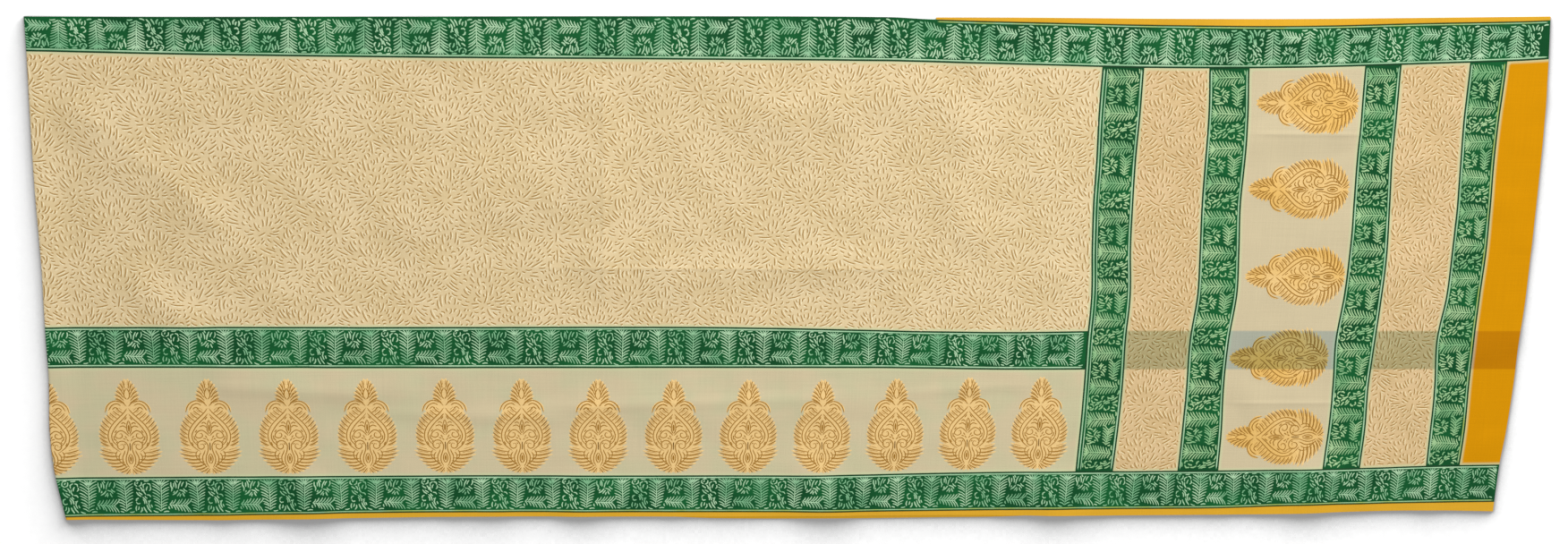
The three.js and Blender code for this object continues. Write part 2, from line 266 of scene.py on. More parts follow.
def cloth_middle(x, y):
    """The middle of the upper layer, for places on the cloth as if it ran on flat past the fold."""
    fold = SEAM["fold"](y)
    past = x - fold + FOLD_SLACK
    turn = np.clip(past / FOLD_RADIUS, -math.pi / 2, math.pi / 2)
    over = np.maximum(np.abs(past) - QUARTER, 0)
    inward = WALL / 2 + FOLD_RADIUS * (1 - np.cos(turn)) + over
    share = ease(0, FOLD_SETTLE, inward)
    lift = ridges(FOLDS, x, y) + ridges(CREASES, x, y) + ripples(x, y)
    top = CREST + (TOP_MIDDLE - CREST) * share + share * np.maximum(lift, 0)
    arc = WALL / 2 + FOLD_RADIUS * (1 + np.sin(turn))
    return np.stack([fold + inward, y, np.where(past > QUARTER, top, arc)], axis=-1)


def on_cloth(points, lift):
    """Places on the upper layer's outer face, raised by lift, in metres."""
    x, y = points[..., 0], points[..., 1]
    along = cloth_middle(x + SLOPE_STEP, y) - cloth_middle(x - SLOPE_STEP, y)
    across = cloth_middle(x, y + SLOPE_STEP) - cloth_middle(x, y - SLOPE_STEP)
    out = np.cross(along, across)
    out /= np.linalg.norm(out, axis=-1, keepdims=True)
    height = np.broadcast_to(WALL / 2 + np.asarray(lift), x.shape)[..., None]
    return (cloth_middle(x, y) + out * height) * MM


def linear_colour(code):
    """A linear colour from an sRGB hex value."""
    parts = [int(code[i:i + 2], 16) / 255 for i in (0, 2, 4)]
    return [p / 12.92 if p <= 0.04045 else ((p + 0.055) / 1.055) ** 2.4 for p in parts]


def size_property(name, description, default_mm):
    return bpy.props.FloatProperty(
        name=name, description=description, default=default_mm * MM, min=0.0,
        subtype="DISTANCE", unit="LENGTH", precision=5)


def colour_property(name, description, code):
    return bpy.props.FloatVectorProperty(
        name=name, description=description, default=linear_colour(code), min=0.0, max=1.0,
        subtype="COLOR", size=3)


class SareeSizes(bpy.types.PropertyGroup):
    """Sizes of the cloth's mesh and of its prints."""
    mesh_step: size_property("Mesh Step", "Spacing of the lines of the cloth's mesh", 10)
    paste: size_property("Paste Height", "How far the printed paste stands off the cloth", 0.3)
    paste_sink: size_property("Paste Sink", "How far the edges of a printed stroke sink in", 0.06)
    fern_stroke: size_property("Fern Stroke", "Width of the strokes of the fern print", 3.2)
    fern_repeat: size_property("Fern Repeat", "Length after which the fern print repeats", 150)
    vine_stroke: size_property("Vine Stroke", "Width of the strokes of the vine print", 3.0)
    vine_repeat: size_property("Vine Repeat", "Distance between the sprays of the vine print", 150)
    motif_height: size_property("Motif Height", "Height of an upright motif", 214)
    lying_motif_length: size_property("Lying Motif Length", "Length of a motif on the pallu", 224)


class SareeColours(bpy.types.PropertyGroup):
    """Colours of the cloth's panels and of its prints."""
    green: colour_property("Green", "Ground of the borders and cross bands", "10602F")
    green_deep: colour_property("Deep Green", "Darker patches of the green ground", "0A4C25")
    fern: colour_property("Fern", "Pale strokes of the fern print", "B8DDB4")
    fern_faint: colour_property("Faint Fern", "Strokes where the green has washed in", "80BC8D")
    fern_cross: colour_property("Cross Fern", "Strokes on the cross bands", "B0D49D")
    fern_cross_faint: colour_property("Faint Cross Fern", "Fainter strokes there", "83BA82")
    line_dark: colour_property("Dark Line", "Outer line of the borders", "0F3A1A")
    line_pale: colour_property("Pale Line", "Inner line of the borders", "9CCB9E")
    hem_line: colour_property("Hem Line", "Olive line beside the yellow edges", "3C3F10")
    hem_line_light: colour_property("Light Hem Line", "Lighter stretches of that line", "54501A")
    hem_line_pale: colour_property("Pale Hem Line", "Yellow-green line inside it", "A9BF62")
    sand: colour_property("Sand", "Ground of the body", "EBD3A4")
    sand_deep: colour_property("Deep Sand", "Darker patches of the body", "E3CA98")
    sand_pallu: colour_property("Pallu Sand", "Ground of the pallu's sand panels", "E4C594")
    sand_pallu_deep: colour_property("Deep Pallu Sand", "Darker patches of those", "DCBD89")
    vine: colour_property("Vine", "Strokes of the vine print", "B08A4C")
    # The cream strokes beside the vine are partly print and partly a painted highlight, always on the
    # same side.
    vine_cream_and_painted_highlight: colour_property("Vine Cream and Highlight", "Cream strokes beside the vine, partly painted highlight", "FBEBC2")
    vine_light_pallu: colour_property("Pallu Vine Cream and Highlight", "The same on the pallu", "F5E0B2")
    celadon: colour_property("Celadon", "Ground of the motif strip", "CEC79F")
    grey: colour_property("Grey", "Ground of the pallu's middle panel", "D6C6A0")
    halo: colour_property("Halo", "Where the green print has bled into its neighbour", "CFD9A8")
    gold: colour_property("Gold", "Leaves of the motifs", "F4CE8A")
    ochre: colour_property("Ochre", "Lines between the leaves of the motifs", "A87828")
    gold_deep: colour_property("Deep Gold", "Leaves of the pallu's motifs", "F0C069")
    yellow: colour_property("Yellow", "End panel", "DB9500")
    yellow_edge: colour_property("Edge Yellow", "Edges along the two long sides", "E3AC2E")
    through_sand: colour_property("Sand Tint", "What shows through the sand panels", "CBD9D0")
    through_grey: colour_property("Grey Tint", "What shows through the grey panel", "CFE3FA")
    through_yellow: colour_property("Yellow Tint", "What shows through the end panel", "E6DBF0")


class SareeStage(bpy.types.PropertyGroup):
    """Floor, light and camera."""
    floor: colour_property("Floor", "Colour of the floor", "FFFFFF")
    floor_glow: bpy.props.FloatProperty(
        name="Floor Glow", description="How much light the floor gives", default=0.24, min=0.0)
    # The soft shadow is painted into the floor's colour.
    shadow_reach: size_property("Shadow Reach", "Width of the soft shadow beside the cloth", 130)
    shadow_depth: bpy.props.FloatProperty(
        name="Shadow Depth", description="What is left of the floor's white in the soft shadow",
        default=0.33, min=0.0, max=1.0)
    sky: bpy.props.FloatProperty(
        name="Sky", description="Strength of the even light from all sides", default=0.36, min=0.0)
    overhead: bpy.props.FloatProperty(
        name="Overhead", description="Power of the wide light above the cloth",
        default=160.0, min=0.0, unit="POWER")
    raking: bpy.props.FloatProperty(
        name="Raking", description="Power of the low light beyond the upper edge",
        default=460.0, min=0.0, unit="POWER")
    lens: bpy.props.FloatProperty(
        name="Lens", description="Focal length of the camera in millimetres", default=41.1, min=1.0)


def sizes():
    return bpy.context.scene.saree_sizes


def colours():
    return bpy.context.scene.saree_colours


def add_node(tree, kind, settings, inputs):
    """Adds a node with its settings, and gives its inputs values or other nodes' outputs."""
    node = tree.nodes.new(kind)
    for name, value in settings.items():
        setattr(node, name, value)
    for place, value in inputs.items():
        if isinstance(value, bpy.types.NodeSocket):
            tree.links.new(value, node.inputs[place])
        else:
            node.inputs[place].default_value = value
    return node


def opaque(colour):
    return (*colour[:3], 1.0)


def blend(tree, factor, first, second, kind="MIX"):
    """Mixes two colours and gives the result's output."""
    node = add_node(tree, "ShaderNodeMix", {"data_type": "RGBA", "blend_type": kind},
                    {0: factor, 6: first, 7: second})
    return node.outputs[2]


def step_between(tree, value, start, end, low=0.0, high=1.0):
    """Maps start to low and end to high with a smooth step."""
    node = add_node(tree, "ShaderNodeMapRange", {"interpolation_type": "SMOOTHSTEP"},
                    {0: value, 1: start, 2: end, 3: low, 4: high})
    return node.outputs[0]


def noise(tree, place, spacing, seed=0.0, detail=3.0):
    """A noise whose patches are as wide as the spacing, in millimetres along X, Y and Z."""
    scale = [1 / (width * MM) for width in spacing]
    mapping = add_node(tree, "ShaderNodeMapping", {},
                       {"Vector": place, "Location": (seed, seed * 0.7, 0.0), "Scale": scale})
    node = add_node(tree, "ShaderNodeTexNoise", {},
                    {"Vector": mapping.outputs[0], "Scale": 1.0, "Detail": detail})
    return node.outputs[0]


def tinted_from_below(tree, place, colour, tint):
    """A colour, tinted where the under layer's border shows through the pallu."""
    split = add_node(tree, "ShaderNodeSeparateXYZ", {}, {0: place})
    soft = SHOW_THROUGH["soft"] * MM
    low, high, left = (SHOW_THROUGH[side] * MM for side in ("low", "high", "left"))
    above = step_between(tree, split.outputs[1], low - soft / 2, low + soft / 2)
    below = step_between(tree, split.outputs[1], high - soft / 2, high + soft / 2, 1.0, 0.0)
    right = step_between(tree, split.outputs[0], left - soft, left)
    inside = add_node(tree, "ShaderNodeMath", {"operation": "MULTIPLY"}, {0: above, 1: below})
    both = add_node(tree, "ShaderNodeMath", {"operation": "MULTIPLY"}, {0: inside.outputs[0], 1: right})
    return blend(tree, both.outputs[0], colour, opaque(tint), "MULTIPLY")


def start_material(name):
    """A new material, with its node tree, its shader and the piece's own coordinates."""
    material = bpy.data.materials.new(name)
    material.use_nodes = True
    tree = material.node_tree
    place = add_node(tree, "ShaderNodeTexCoord", {}, {}).outputs["Object"]
    return material, tree, tree.nodes["Principled BSDF"], place


def shaded(tree, colour, shade):
    """A colour made darker or lighter by a factor."""
    grey = add_node(tree, "ShaderNodeCombineColor", {}, {0: shade, 1: shade, 2: shade})
    return blend(tree, 1.0, colour, grey.outputs[0], "MULTIPLY")


def summed(tree, first, second):
    """The sum of two values."""
    return add_node(tree, "ShaderNodeMath", {"operation": "ADD"}, {0: first, 1: second}).outputs[0]


# How wide the patterns of silk are along the cloth, across it and upwards: patches of uneven dye,
# streaks of thick and thin threads both ways, and the grain of the weave.
DYE_PATCH = (110, 80, 100)
WARP_STREAK = (140, 3, 100)
WEFT_STREAK = (3, 110, 100)
WEAVE_GRAIN = (2.2, 2.2, 2.2)
# The green print has bled into its neighbour: fully up to a distance from the seam, fading out at
# a second one, and how much of its colour it has left there at most.
HALO = {"full": 1, "gone": 8, "share": 0.7}
FAR_FROM_GREEN = 1000.0
# The patches of more or less paste, and the paste's own grain.
PASTE_PATCH = (60, 60, 60)
PASTE_GRAIN = (3, 3, 3)


def silk(name, light, deep, roughness=0.62, sheen=0.12, halo=False, show_through=None):
    """Plain-woven silk: threads of uneven thickness give fine streaks along and across, and the
    dye takes unevenly. Its threads lie 0.25 mm apart, which is too fine to show, so the streaks
    are drawn 3 mm apart."""
    material, tree, shader, place = start_material(name)
    patches = step_between(tree, noise(tree, place, DYE_PATCH, 0.3), 0.36, 0.66)
    colour = blend(tree, patches, opaque(deep), opaque(light))
    warp = noise(tree, place, WARP_STREAK, 4.1, 2.0)
    weft = noise(tree, place, WEFT_STREAK, 8.3, 2.0)
    threads = summed(tree, warp, weft)
    colour = shaded(tree, colour, step_between(tree, threads, 0.7, 1.3, 0.975, 1.02))
    if halo:
        distance = add_node(tree, "ShaderNodeAttribute", {"attribute_name": "seam_distance"}, {})
        bled = step_between(tree, distance.outputs["Fac"], HALO["full"] * MM, HALO["gone"] * MM,
                            HALO["share"], 0.0)
        colour = blend(tree, bled, colour, opaque(colours().halo))
    if show_through:
        colour = tinted_from_below(tree, place, colour, show_through)
    tree.links.new(colour, shader.inputs["Base Color"])
    grain = noise(tree, place, WEAVE_GRAIN, 1.7, 2.0)
    rough = step_between(tree, grain, 0.3, 0.7, roughness - 0.06, roughness + 0.06)
    tree.links.new(rough, shader.inputs["Roughness"])
    bump = add_node(tree, "ShaderNodeBump", {},
                    {"Strength": 0.25, "Distance": 0.0004, "Height": summed(tree, threads, grain)})
    tree.links.new(bump.outputs[0], shader.inputs["Normal"])
    shader.inputs["IOR"].default_value = 1.5
    shader.inputs["Specular IOR Level"].default_value = sheen * 2.5
    shader.inputs["Sheen Weight"].default_value = sheen
    shader.inputs["Sheen Roughness"].default_value = 0.45
    return material


def paste(name, first, second, spacing=PASTE_PATCH, roughness=0.7, show_through=None):
    """Pigment paste printed on silk: matt, with a little more or less of it from place to place."""
    material, tree, shader, place = start_material(name)
    wide = step_between(tree, noise(tree, place, spacing, 2.9), 0.35, 0.65)
    colour = blend(tree, wide, opaque(first), opaque(second))
    fine = noise(tree, place, PASTE_GRAIN, 6.1, 2.0)
    colour = shaded(tree, colour, step_between(tree, fine, 0.3, 0.7, 0.93, 1.05))
    if show_through:
        colour = tinted_from_below(tree, place, colour, show_through)
    tree.links.new(colour, shader.inputs["Base Color"])
    rough = step_between(tree, fine, 0.3, 0.7, roughness - 0.05, roughness + 0.05)
    tree.links.new(rough, shader.inputs["Roughness"])
    shader.inputs["Specular IOR Level"].default_value = 0.25
    return material


def places(start, end, step, creases=()):
    """Even places from start to end, closer together over each narrow crease."""
    count = max(1, round((end - start) / step))
    even = [p for p in np.linspace(start, end, count + 1)
            if p in (start, end) or all(abs(p - crease) > CREASE_CLEAR for crease in creases)]
    close = [crease + offset for crease in creases for offset in CREASE_OFFSETS
             if start + 2 < crease + offset < end - 2]
    return np.array(sorted(even + close))


def spread(low, high, at, pull=1):
    """Lines between two seams. Each keeps its place, and near a seam it follows the seam."""
    lines = []
    for place in at:
        share = (place - at[0]) / (at[-1] - at[0])

        def line(where, place=place, near=(1 - share) ** pull, far=share ** pull):
            return place + near * (low(where) - at[0]) + far * (high(where) - at[-1])

        lines.append(line)
    return lines


# Where the columns near the fold lie, along the cloth from the fold's tip: at the turned-under end,
# round the bend, and on the way to where the cloth has settled.
FOLD_STATIONS = (
    [-TAIL, -10, -6] + [QUARTER * step / 4 for step in range(-4, 5)]
    + [6, 9, 13, 18, 24, 31, 39, 48]
)


def fold_columns():
    """Columns that follow the fold, from the turned-under end to where the cloth has settled."""
    return [moved(SEAM["fold"], station - FOLD_SLACK) for station in FOLD_STATIONS]


def columns_from_fold(end, end_at, creases=()):
    """Columns from the turned-under end to a seam or edge, close together round the fold."""
    start = FOLD_SETTLE + SEAM["fold"](0)
    at = places(float(start), end_at, sizes().mesh_step / MM, creases)
    return fold_columns() + spread(moved(SEAM["fold"], FOLD_SETTLE), end, at, 3)


def meet(rows, columns):
    """Where each row meets each column: rows bend with x and columns with y."""
    x = np.zeros((len(rows), len(columns)))
    for _ in range(MEET_ROUNDS):
        y = np.stack([row(x[j]) for j, row in enumerate(rows)])
        x = np.stack([column(y[:, k]) for k, column in enumerate(columns)], axis=1)
    return x, y


def grid_object(name, points):
    """A grid of faces through an array of points, in metres."""
    bpy.ops.object.select_all(action="DESELECT")
    high, wide = points.shape[:2]
    bpy.ops.mesh.primitive_grid_add(x_subdivisions=wide - 1, y_subdivisions=high - 1, size=1)
    piece = bpy.context.object
    piece.name = piece.data.name = name
    piece.data.vertices.foreach_set("co", np.ascontiguousarray(points, float).ravel())
    piece.data.update()
    return piece


def finish_cloth(piece, material, bevel=False):
    """Gives the cloth its thickness, and smooth faces but for its cut edges."""
    solid = piece.modifiers.new("Thickness", "SOLIDIFY")
    solid.thickness = WALL * MM
    solid.offset = 0
    bpy.ops.object.modifier_apply(modifier=solid.name)
    if bevel:
        rim = piece.modifiers.new("Rim", "BEVEL")
        rim.width = 0.4 * MM
        rim.segments = 2
        rim.limit_method = "ANGLE"
        rim.angle_limit = math.radians(60)
        bpy.ops.object.modifier_apply(modifier=rim.name)
    bpy.ops.object.shade_smooth_by_angle(angle=math.radians(40))
    piece.data.materials.clear()
    piece.data.materials.append(material)


def declare_cloth(piece, node):
    """Hides the part's own piece for the node that a sheet of cloth stands for, and puts the sheet under
    the root body.
    """
    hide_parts(node)
    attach(piece, "root")


def cloth_panel(node, material, rows, columns, green_seams=()):
    """One panel of the upper layer. Its points know how far they are from the green beside it."""
    x, y = meet(rows, columns)
    piece = grid_object(node + "_cloth", on_cloth(np.stack([x, y], axis=-1), -WALL / 2))
    distance = np.full(x.shape, FAR_FROM_GREEN)
    for seam, across in green_seams:
        gap = x - seam(y) if across else y - seam(x)
        distance = np.minimum(distance, np.abs(gap))
    attribute = piece.data.attributes.new("seam_distance", "FLOAT", "POINT")
    attribute.data.foreach_set("value", distance.ravel() * MM)
    finish_cloth(piece, material)
    declare_cloth(piece, node)
    return piece


def band_rows(low, high, step, low_gap=True, high_gap=True):
    """Rows of a narrow band between two seams, drawn in by half the gap at each seam."""
    foot = moved(SEAM[low], SEAM_GAP / 2 if low_gap else 0)
    head = moved(SEAM[high], -SEAM_GAP / 2 if high_gap else 0)
    at = places(float(np.mean(foot(0))), float(np.mean(head(0))), step)
    return spread(foot, head, at)


def panel_rows(low, high, creases=()):
    """Rows of a wide panel between two seams."""
    foot = moved(SEAM[low], SEAM_GAP / 2)
    head = moved(SEAM[high], -SEAM_GAP / 2)
    at = places(float(foot(0)), float(head(0)), sizes().mesh_step / MM * 0.8, creases)
    return spread(foot, head, at, 3)


def close_stepped(points, half):
    """More stations for a short stroke that reaches the fold, so that it follows the bend."""
    from_fold = points[:, 0] - SEAM["fold"](points[:, 1])
    if from_fold.min() > FOLD_NEAR or from_fold.max() > 20 * FOLD_NEAR:
        return points, half
    index = np.arange(len(points))
    at = np.linspace(0, len(points) - 1, 5 * len(points) - 4)
    columns = [np.interp(at, index, column) for column in (*points.T, half)]
    return np.stack(columns[:2], axis=-1), columns[2]


def strokes_mesh(name, strokes, material, slot, crown=None, sink=None):
    """Joins strokes into one mesh: each is a low ridge, closed below, that ends in two points."""
    size = sizes()
    crown = size.paste / MM if crown is None else crown
    sink = size.paste_sink / MM if sink is None else sink
    by_count = {}
    for points, half in strokes:
        points, half = close_stepped(np.asarray(points, float), half)
        by_count.setdefault(len(points), []).append((points, half))
    vertices, faces, total = [], [], 0
    for count, group in sorted(by_count.items()):
        points = np.array([stroke[0] for stroke in group], float)
        half = np.array([stroke[1] for stroke in group], float)[..., None]
        way = np.gradient(points, axis=1)
        way /= np.maximum(np.linalg.norm(way, axis=-1, keepdims=True), 1e-9)
        left = np.stack([-way[..., 1], way[..., 0]], axis=-1) * half
        inner, inner_left = points[:, 1:-1], left[:, 1:-1]
        section = np.stack([on_cloth(inner + inner_left, -sink), on_cloth(inner, crown),
                            on_cloth(inner - inner_left, -sink)], axis=2)
        ends = on_cloth(points[:, (0, -1)], -sink)
        ring = section.reshape(len(group), -1, 3)
        vertices.append(np.concatenate([ring, ends], axis=1).reshape(-1, 3))
        last, pattern = 3 * (count - 3), []
        start_point, end_point = 3 * (count - 2), 3 * (count - 2) + 1
        for a, b in ((0, 1), (1, 2), (2, 0)):
            pattern += [(b, a, start_point), (last + a, last + b, end_point)]
            for near in range(0, last, 3):
                pattern += [(near + a, near + b, near + 3 + b), (near + a, near + 3 + b, near + 3 + a)]
        each = 3 * (count - 2) + 2
        starts = total + each * np.arange(len(group))
        faces.append((np.array(pattern)[None] + starts[:, None, None]).reshape(-1, 3))
        total += each * len(group)
    return joined_mesh(name, vertices, faces, material)


def joined_mesh(name, vertices, faces, material):
    """An object from blocks of vertices and triangles, printed on the cloth."""
    mesh = bpy.data.meshes.new(name)
    mesh.from_pydata(np.concatenate(vertices), [], np.concatenate(faces))
    piece = bpy.data.objects.new(name, mesh)
    bpy.context.scene.collection.objects.link(piece)
    mesh.materials.append(material)
    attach(piece, "root")
    return piece


def bow(start, end, bend, half, count=5, tip=0.35, edge=0.14):
    """A stroke, or many, from start to end whose middle lies to the left by bend. It narrows at its
    tip, and its full width starts and ends within an edge, as a share of its length, of its two
    points."""
    start, end = np.asarray(start, float), np.asarray(end, float)
    way = end - start
    side = np.stack([-way[..., 1], way[..., 0]], axis=-1)
    side /= np.maximum(np.linalg.norm(way, axis=-1, keepdims=True), 1e-6)
    control = (start + end) / 2 + side * np.asarray(bend)[..., None] * 2
    inner = np.linspace(edge, 1 - edge, count - 2) if count > 3 else [0.5]
    t = np.concatenate([[0], inner, [1]])[:, None]
    start, control, end = (place[..., None, :] for place in (start, control, end))
    points = (1 - t) ** 2 * start + 2 * t * (1 - t) * control + t ** 2 * end
    return points, half * np.interp(t[:, 0], (0, 0.3, 0.7, 1), (0.75, 1, 1, tip))


def smooth_path(knots, half, count=9, tips=(0.6, 0.4)):
    """A stroke that runs smoothly through a few knots."""
    knots = np.array(knots, float)
    reach = np.concatenate([[0], np.cumsum(np.hypot(*np.diff(knots, axis=0).T))])
    table = [("at", "u", "v")] + [(r, *knot) for r, knot in zip(reach, knots)]
    at = np.linspace(0, reach[-1], count)
    points = np.stack([line_through(table, "u")(at), line_through(table, "v")(at)], axis=-1)
    share = at / reach[-1]
    return points, half * np.interp(share, (0, 0.12, 0.85, 1), (tips[0], 1, 1, tips[1]))


def mirrored(strokes):
    """Strokes and their mirror images across the upright middle line."""
    return strokes + [(points * (-1, 1), half) for points, half in strokes]


# Strokes of the fern print that stand between the fronds, each in millimetres in a cell that is
# 150 wide and 80 high: start, end and how far the middle bends to the left.
TWIG_STROKES = (
    (51, 4, 58, 25, -2), (58, 25, 71, 37, 2), (57, 25, 44, 34, 3), (66, 4, 63, 22, 2),
    (73, 6, 69, 24, -3), (41, 5, 44, 20, 3), (48, 20, 39, 28, -2), (75, 14, 73, 30, 3),
)
SQUIGGLE_STROKES = (
    (116, 77, 126, 58, 2), (126, 58, 135, 40, -3), (135, 40, 146, 28, 2), (117, 68, 118, 48, 4),
    (118, 48, 124, 50, 3), (125, 77, 132, 62, 1), (141, 77, 137, 64, -3), (147, 74, 146, 60, 2),
    (138, 54, 147, 51, 4), (147, 51, 141, 43, 3), (116, 42, 125, 36, -3), (125, 36, 129, 21, 3),
    (129, 21, 123, 9, 5), (123, 9, 116, 17, 4), (116, 17, 119, 27, 3), (133, 30, 138, 18, -2),
    (135, 5, 142, 16, 4), (142, 16, 146, 5, 4), (146, 5, 137, 3, 2),
)
FERN_CELL = {"width": 150, "height": 80, "low": 2, "high": 78}
# How far the fern print stays from a band's edge, how much farther it stays from the second pale
# line, and how far from the long borders.
PRINT_CLEAR = 7.4
SECOND_LINE_CLEAR = 6.4
CROSS_END_CLEAR = 1.5
# The strokes that fill bare ground in a cell: how many are tried, their lengths, how clear they
# stay of others, and their width against a barb's.
FERN_FILL = {"tries": 6000, "short": 5, "long": 13, "clear": 3, "width": 1.15}
SQUIGGLE_WIDTH = 1.25
# How far a stroke may be off its place in the repeat, and how thin or thick it may be.
FERN_PLAY = {"shift": 0.4, "thin": 0.88, "thick": 1.1}
# How the barbs of a frond stand, as shares of its spine and of its reach: where the first pair
# stands and how far on the last one is, how much shorter the last is, how far a barb reaches
# aside, how far back at the root, and how much less of that at the tip. The fan at its root has
# barbs that reach aside and back as given.
FROND = {"first": 0.16, "on": 0.8, "shorter": 0.4, "aside": 0.84, "back": 0.68, "less_back": 0.2}
FROND_FAN = ((0.16, 0.1), (0.42, 0.07), (0.66, 0.02))


def frond(root, tip, pairs, reach, half, base_fan=True):
    """A fir-like frond: a spine from root to tip, and pairs of barbs that trail towards the root."""
    root, tip = np.array(root, float), np.array(tip, float)
    length = np.linalg.norm(tip - root)
    way = (tip - root) / length
    side = np.array((-way[1], way[0]))
    strokes = [bow(root, tip, 0.8, half * 0.85, 6)]
    for pair in range(pairs):
        share = FROND["first"] + FROND["on"] * pair / (pairs - 1)
        spine = root + way * length * share
        barb = reach * (1 - FROND["shorter"] * share ** 3)
        back = FROND["back"] - FROND["less_back"] * share
        for hand in (1, -1):
            end = spine + side * hand * barb * FROND["aside"] - way * barb * back
            strokes.append(bow(spine, end, hand * 1.8, half, 5, 0.6))
    if base_fan:
        for hand in (1, -1):
            for outward, back in FROND_FAN:
                end = root + side * hand * reach * outward - way * length * back
                strokes.append(bow(root + way * length * 0.1, end, hand * 0.6, half, 5, 0.6))
    return strokes


def disc(radius):
    """The cells within a radius of a cell."""
    reach = np.arange(-radius, radius + 1)
    cells = np.stack(np.meshgrid(reach, reach), -1).reshape(-1, 2)
    return cells[np.hypot(*cells.T) <= radius + 0.3]


def stroke_cells(points, corner):
    """The cells of a raster of 1 mm that a stroke passes through."""
    between = (points[1:] + points[:-1]) / 2
    return np.rint(np.concatenate([points, between]) - corner).astype(int)


def claim(taken, cells, around):
    """Marks cells and the ones around them as taken."""
    near = (cells[:, None] + around[None]).reshape(-1, 2)
    near = np.clip(near, 0, np.array(taken.shape) - 1)
    taken[near[:, 0], near[:, 1]] = True


def is_free(taken, cells):
    inside = cells.min() >= 0 and (cells < taken.shape).all()
    return inside and not taken[cells[:, 0], cells[:, 1]].any()


def fern_cell(half):
    """One repeat of the fern print: two upright fronds, a lying one over a twig, squiggles, and
    short strokes beside them wherever the ground would be bare."""
    strokes = frond((20, 6), (18, 77), 10, 23, half)
    strokes += frond((94, 6), (97, 77), 10, 23, half)
    strokes += frond((38, 61), (80, 58), 7, 20, half, base_fan=False)
    strokes += [bow((a, b), (c, d), bend, half * SQUIGGLE_WIDTH, 5, 0.6)
                for a, b, c, d, bend in TWIG_STROKES + SQUIGGLE_STROKES]
    width, height = FERN_CELL["width"], FERN_CELL["height"]
    taken = np.zeros((width, height), bool)
    taken[:, :FERN_CELL["low"]] = taken[:, FERN_CELL["high"]:] = True
    around = disc(FERN_FILL["clear"])
    corner = np.zeros(2)
    for points, _ in strokes:
        for shift in (-width, 0, width):
            claim(taken, stroke_cells(points + (shift, 0), corner), around)
    middles = np.concatenate([(points[1:] + points[:-1]) / 2 for points, _ in strokes])
    ways = np.concatenate([np.diff(points, axis=0) for points, _ in strokes])
    random = np.random.default_rng(SEED)
    spots = random.uniform((0, 0), (width, height), (FERN_FILL["tries"], 2))
    for spot, longer in zip(spots, np.linspace(1, 0, len(spots))):
        cell = spot.astype(int)
        if taken[cell[0], cell[1]]:
            continue
        way = ways[np.argmin(np.hypot(*(middles - spot).T))]
        length = FERN_FILL["short"] + (FERN_FILL["long"] - FERN_FILL["short"]) * longer
        step = way / np.hypot(*way) * length / 2
        stroke = bow(spot - step, spot + step, random.uniform(-2, 2), half * FERN_FILL["width"],
                     5, 0.6)
        cells = stroke_cells(stroke[0], corner)
        if is_free(taken, cells):
            claim(taken, cells, around)
            strokes.append(stroke)
    return strokes


def fern_band(length, place, random, finer=1):
    """Fern print along a band: place turns cell coordinates into places on the cloth."""
    repeat = sizes().fern_repeat / MM
    cell_strokes = fern_cell(sizes().fern_stroke / MM / 2 * finer)
    low, high = FERN_CELL["low"], FERN_CELL["high"]
    strokes = []
    for cell in range(math.ceil(length / repeat)):
        for points, width in cell_strokes:
            points = points + random.normal(0, FERN_PLAY["shift"], 2)
            along = points[:, 0] * repeat / FERN_CELL["width"] + cell * repeat
            if along.min() > 0 and along.max() < length:
                up = np.clip((points[:, 1] - low) / (high - low), 0, 1)
                placed = place(along, up)
                if on_upper_layer(placed).all():
                    play = random.uniform(FERN_PLAY["thin"], FERN_PLAY["thick"])
                    strokes.append((placed, width * play))
    return strokes


def on_upper_layer(points):
    """Whether places lie between the cloth's turned-under end and the pallu's end."""
    x, y = points[..., 0], points[..., 1]
    return (x > SEAM["fold"](y) - TAIL + 1) & (x < SEAM["pallu"](y) - 2)


def long_band(low, high, start, end, turned):
    """Places on a band along the cloth. Where it is turned, the fronds' feet are uppermost."""
    def place(along, up):
        x = end - along if turned else start + along
        share = 1 - up if turned else up
        return np.stack([x, low(x) + (high(x) - low(x)) * share], axis=-1)
    return place


def cross_band(left, right, top):
    """Places on a band across the cloth, with the fronds' feet at its left."""
    def place(along, up):
        y = top - along
        return np.stack([left(y) + (right(y) - left(y)) * up, y], axis=-1)
    return place


def line_along(seam, offset, width, start=None, end=None):
    """A drawn line that follows a seam along the cloth, close-stepped where it goes round the
    fold. It runs from end to end of the cloth unless a start or an end is given."""
    fold = float(SEAM["fold"](SEAM[seam](-HALF_LENGTH)))
    end = float(SEAM["pallu"](SEAM[seam](HALF_LENGTH))) - 1 if end is None else end
    if start is None:
        bend = fold - FOLD_SLACK + np.array(FOLD_STATIONS)
        x = np.concatenate([bend, places(fold + FOLD_SETTLE, end, 8)])
    else:
        x = places(start, end, 8)
    return np.stack([x, SEAM[seam](x) + offset], axis=-1), np.full(len(x), width / 2)


def line_across(seam, offset, width):
    """A drawn line that follows a seam across the cloth, between the two long borders."""
    x = float(SEAM[seam](0)) + offset
    y = places(float(SEAM["strip_foot"](x)) + 1, float(SEAM["body_top"](x)) - 1, 8)
    return np.stack([SEAM[seam](y) + offset, y], axis=-1), np.full(len(y), width / 2)


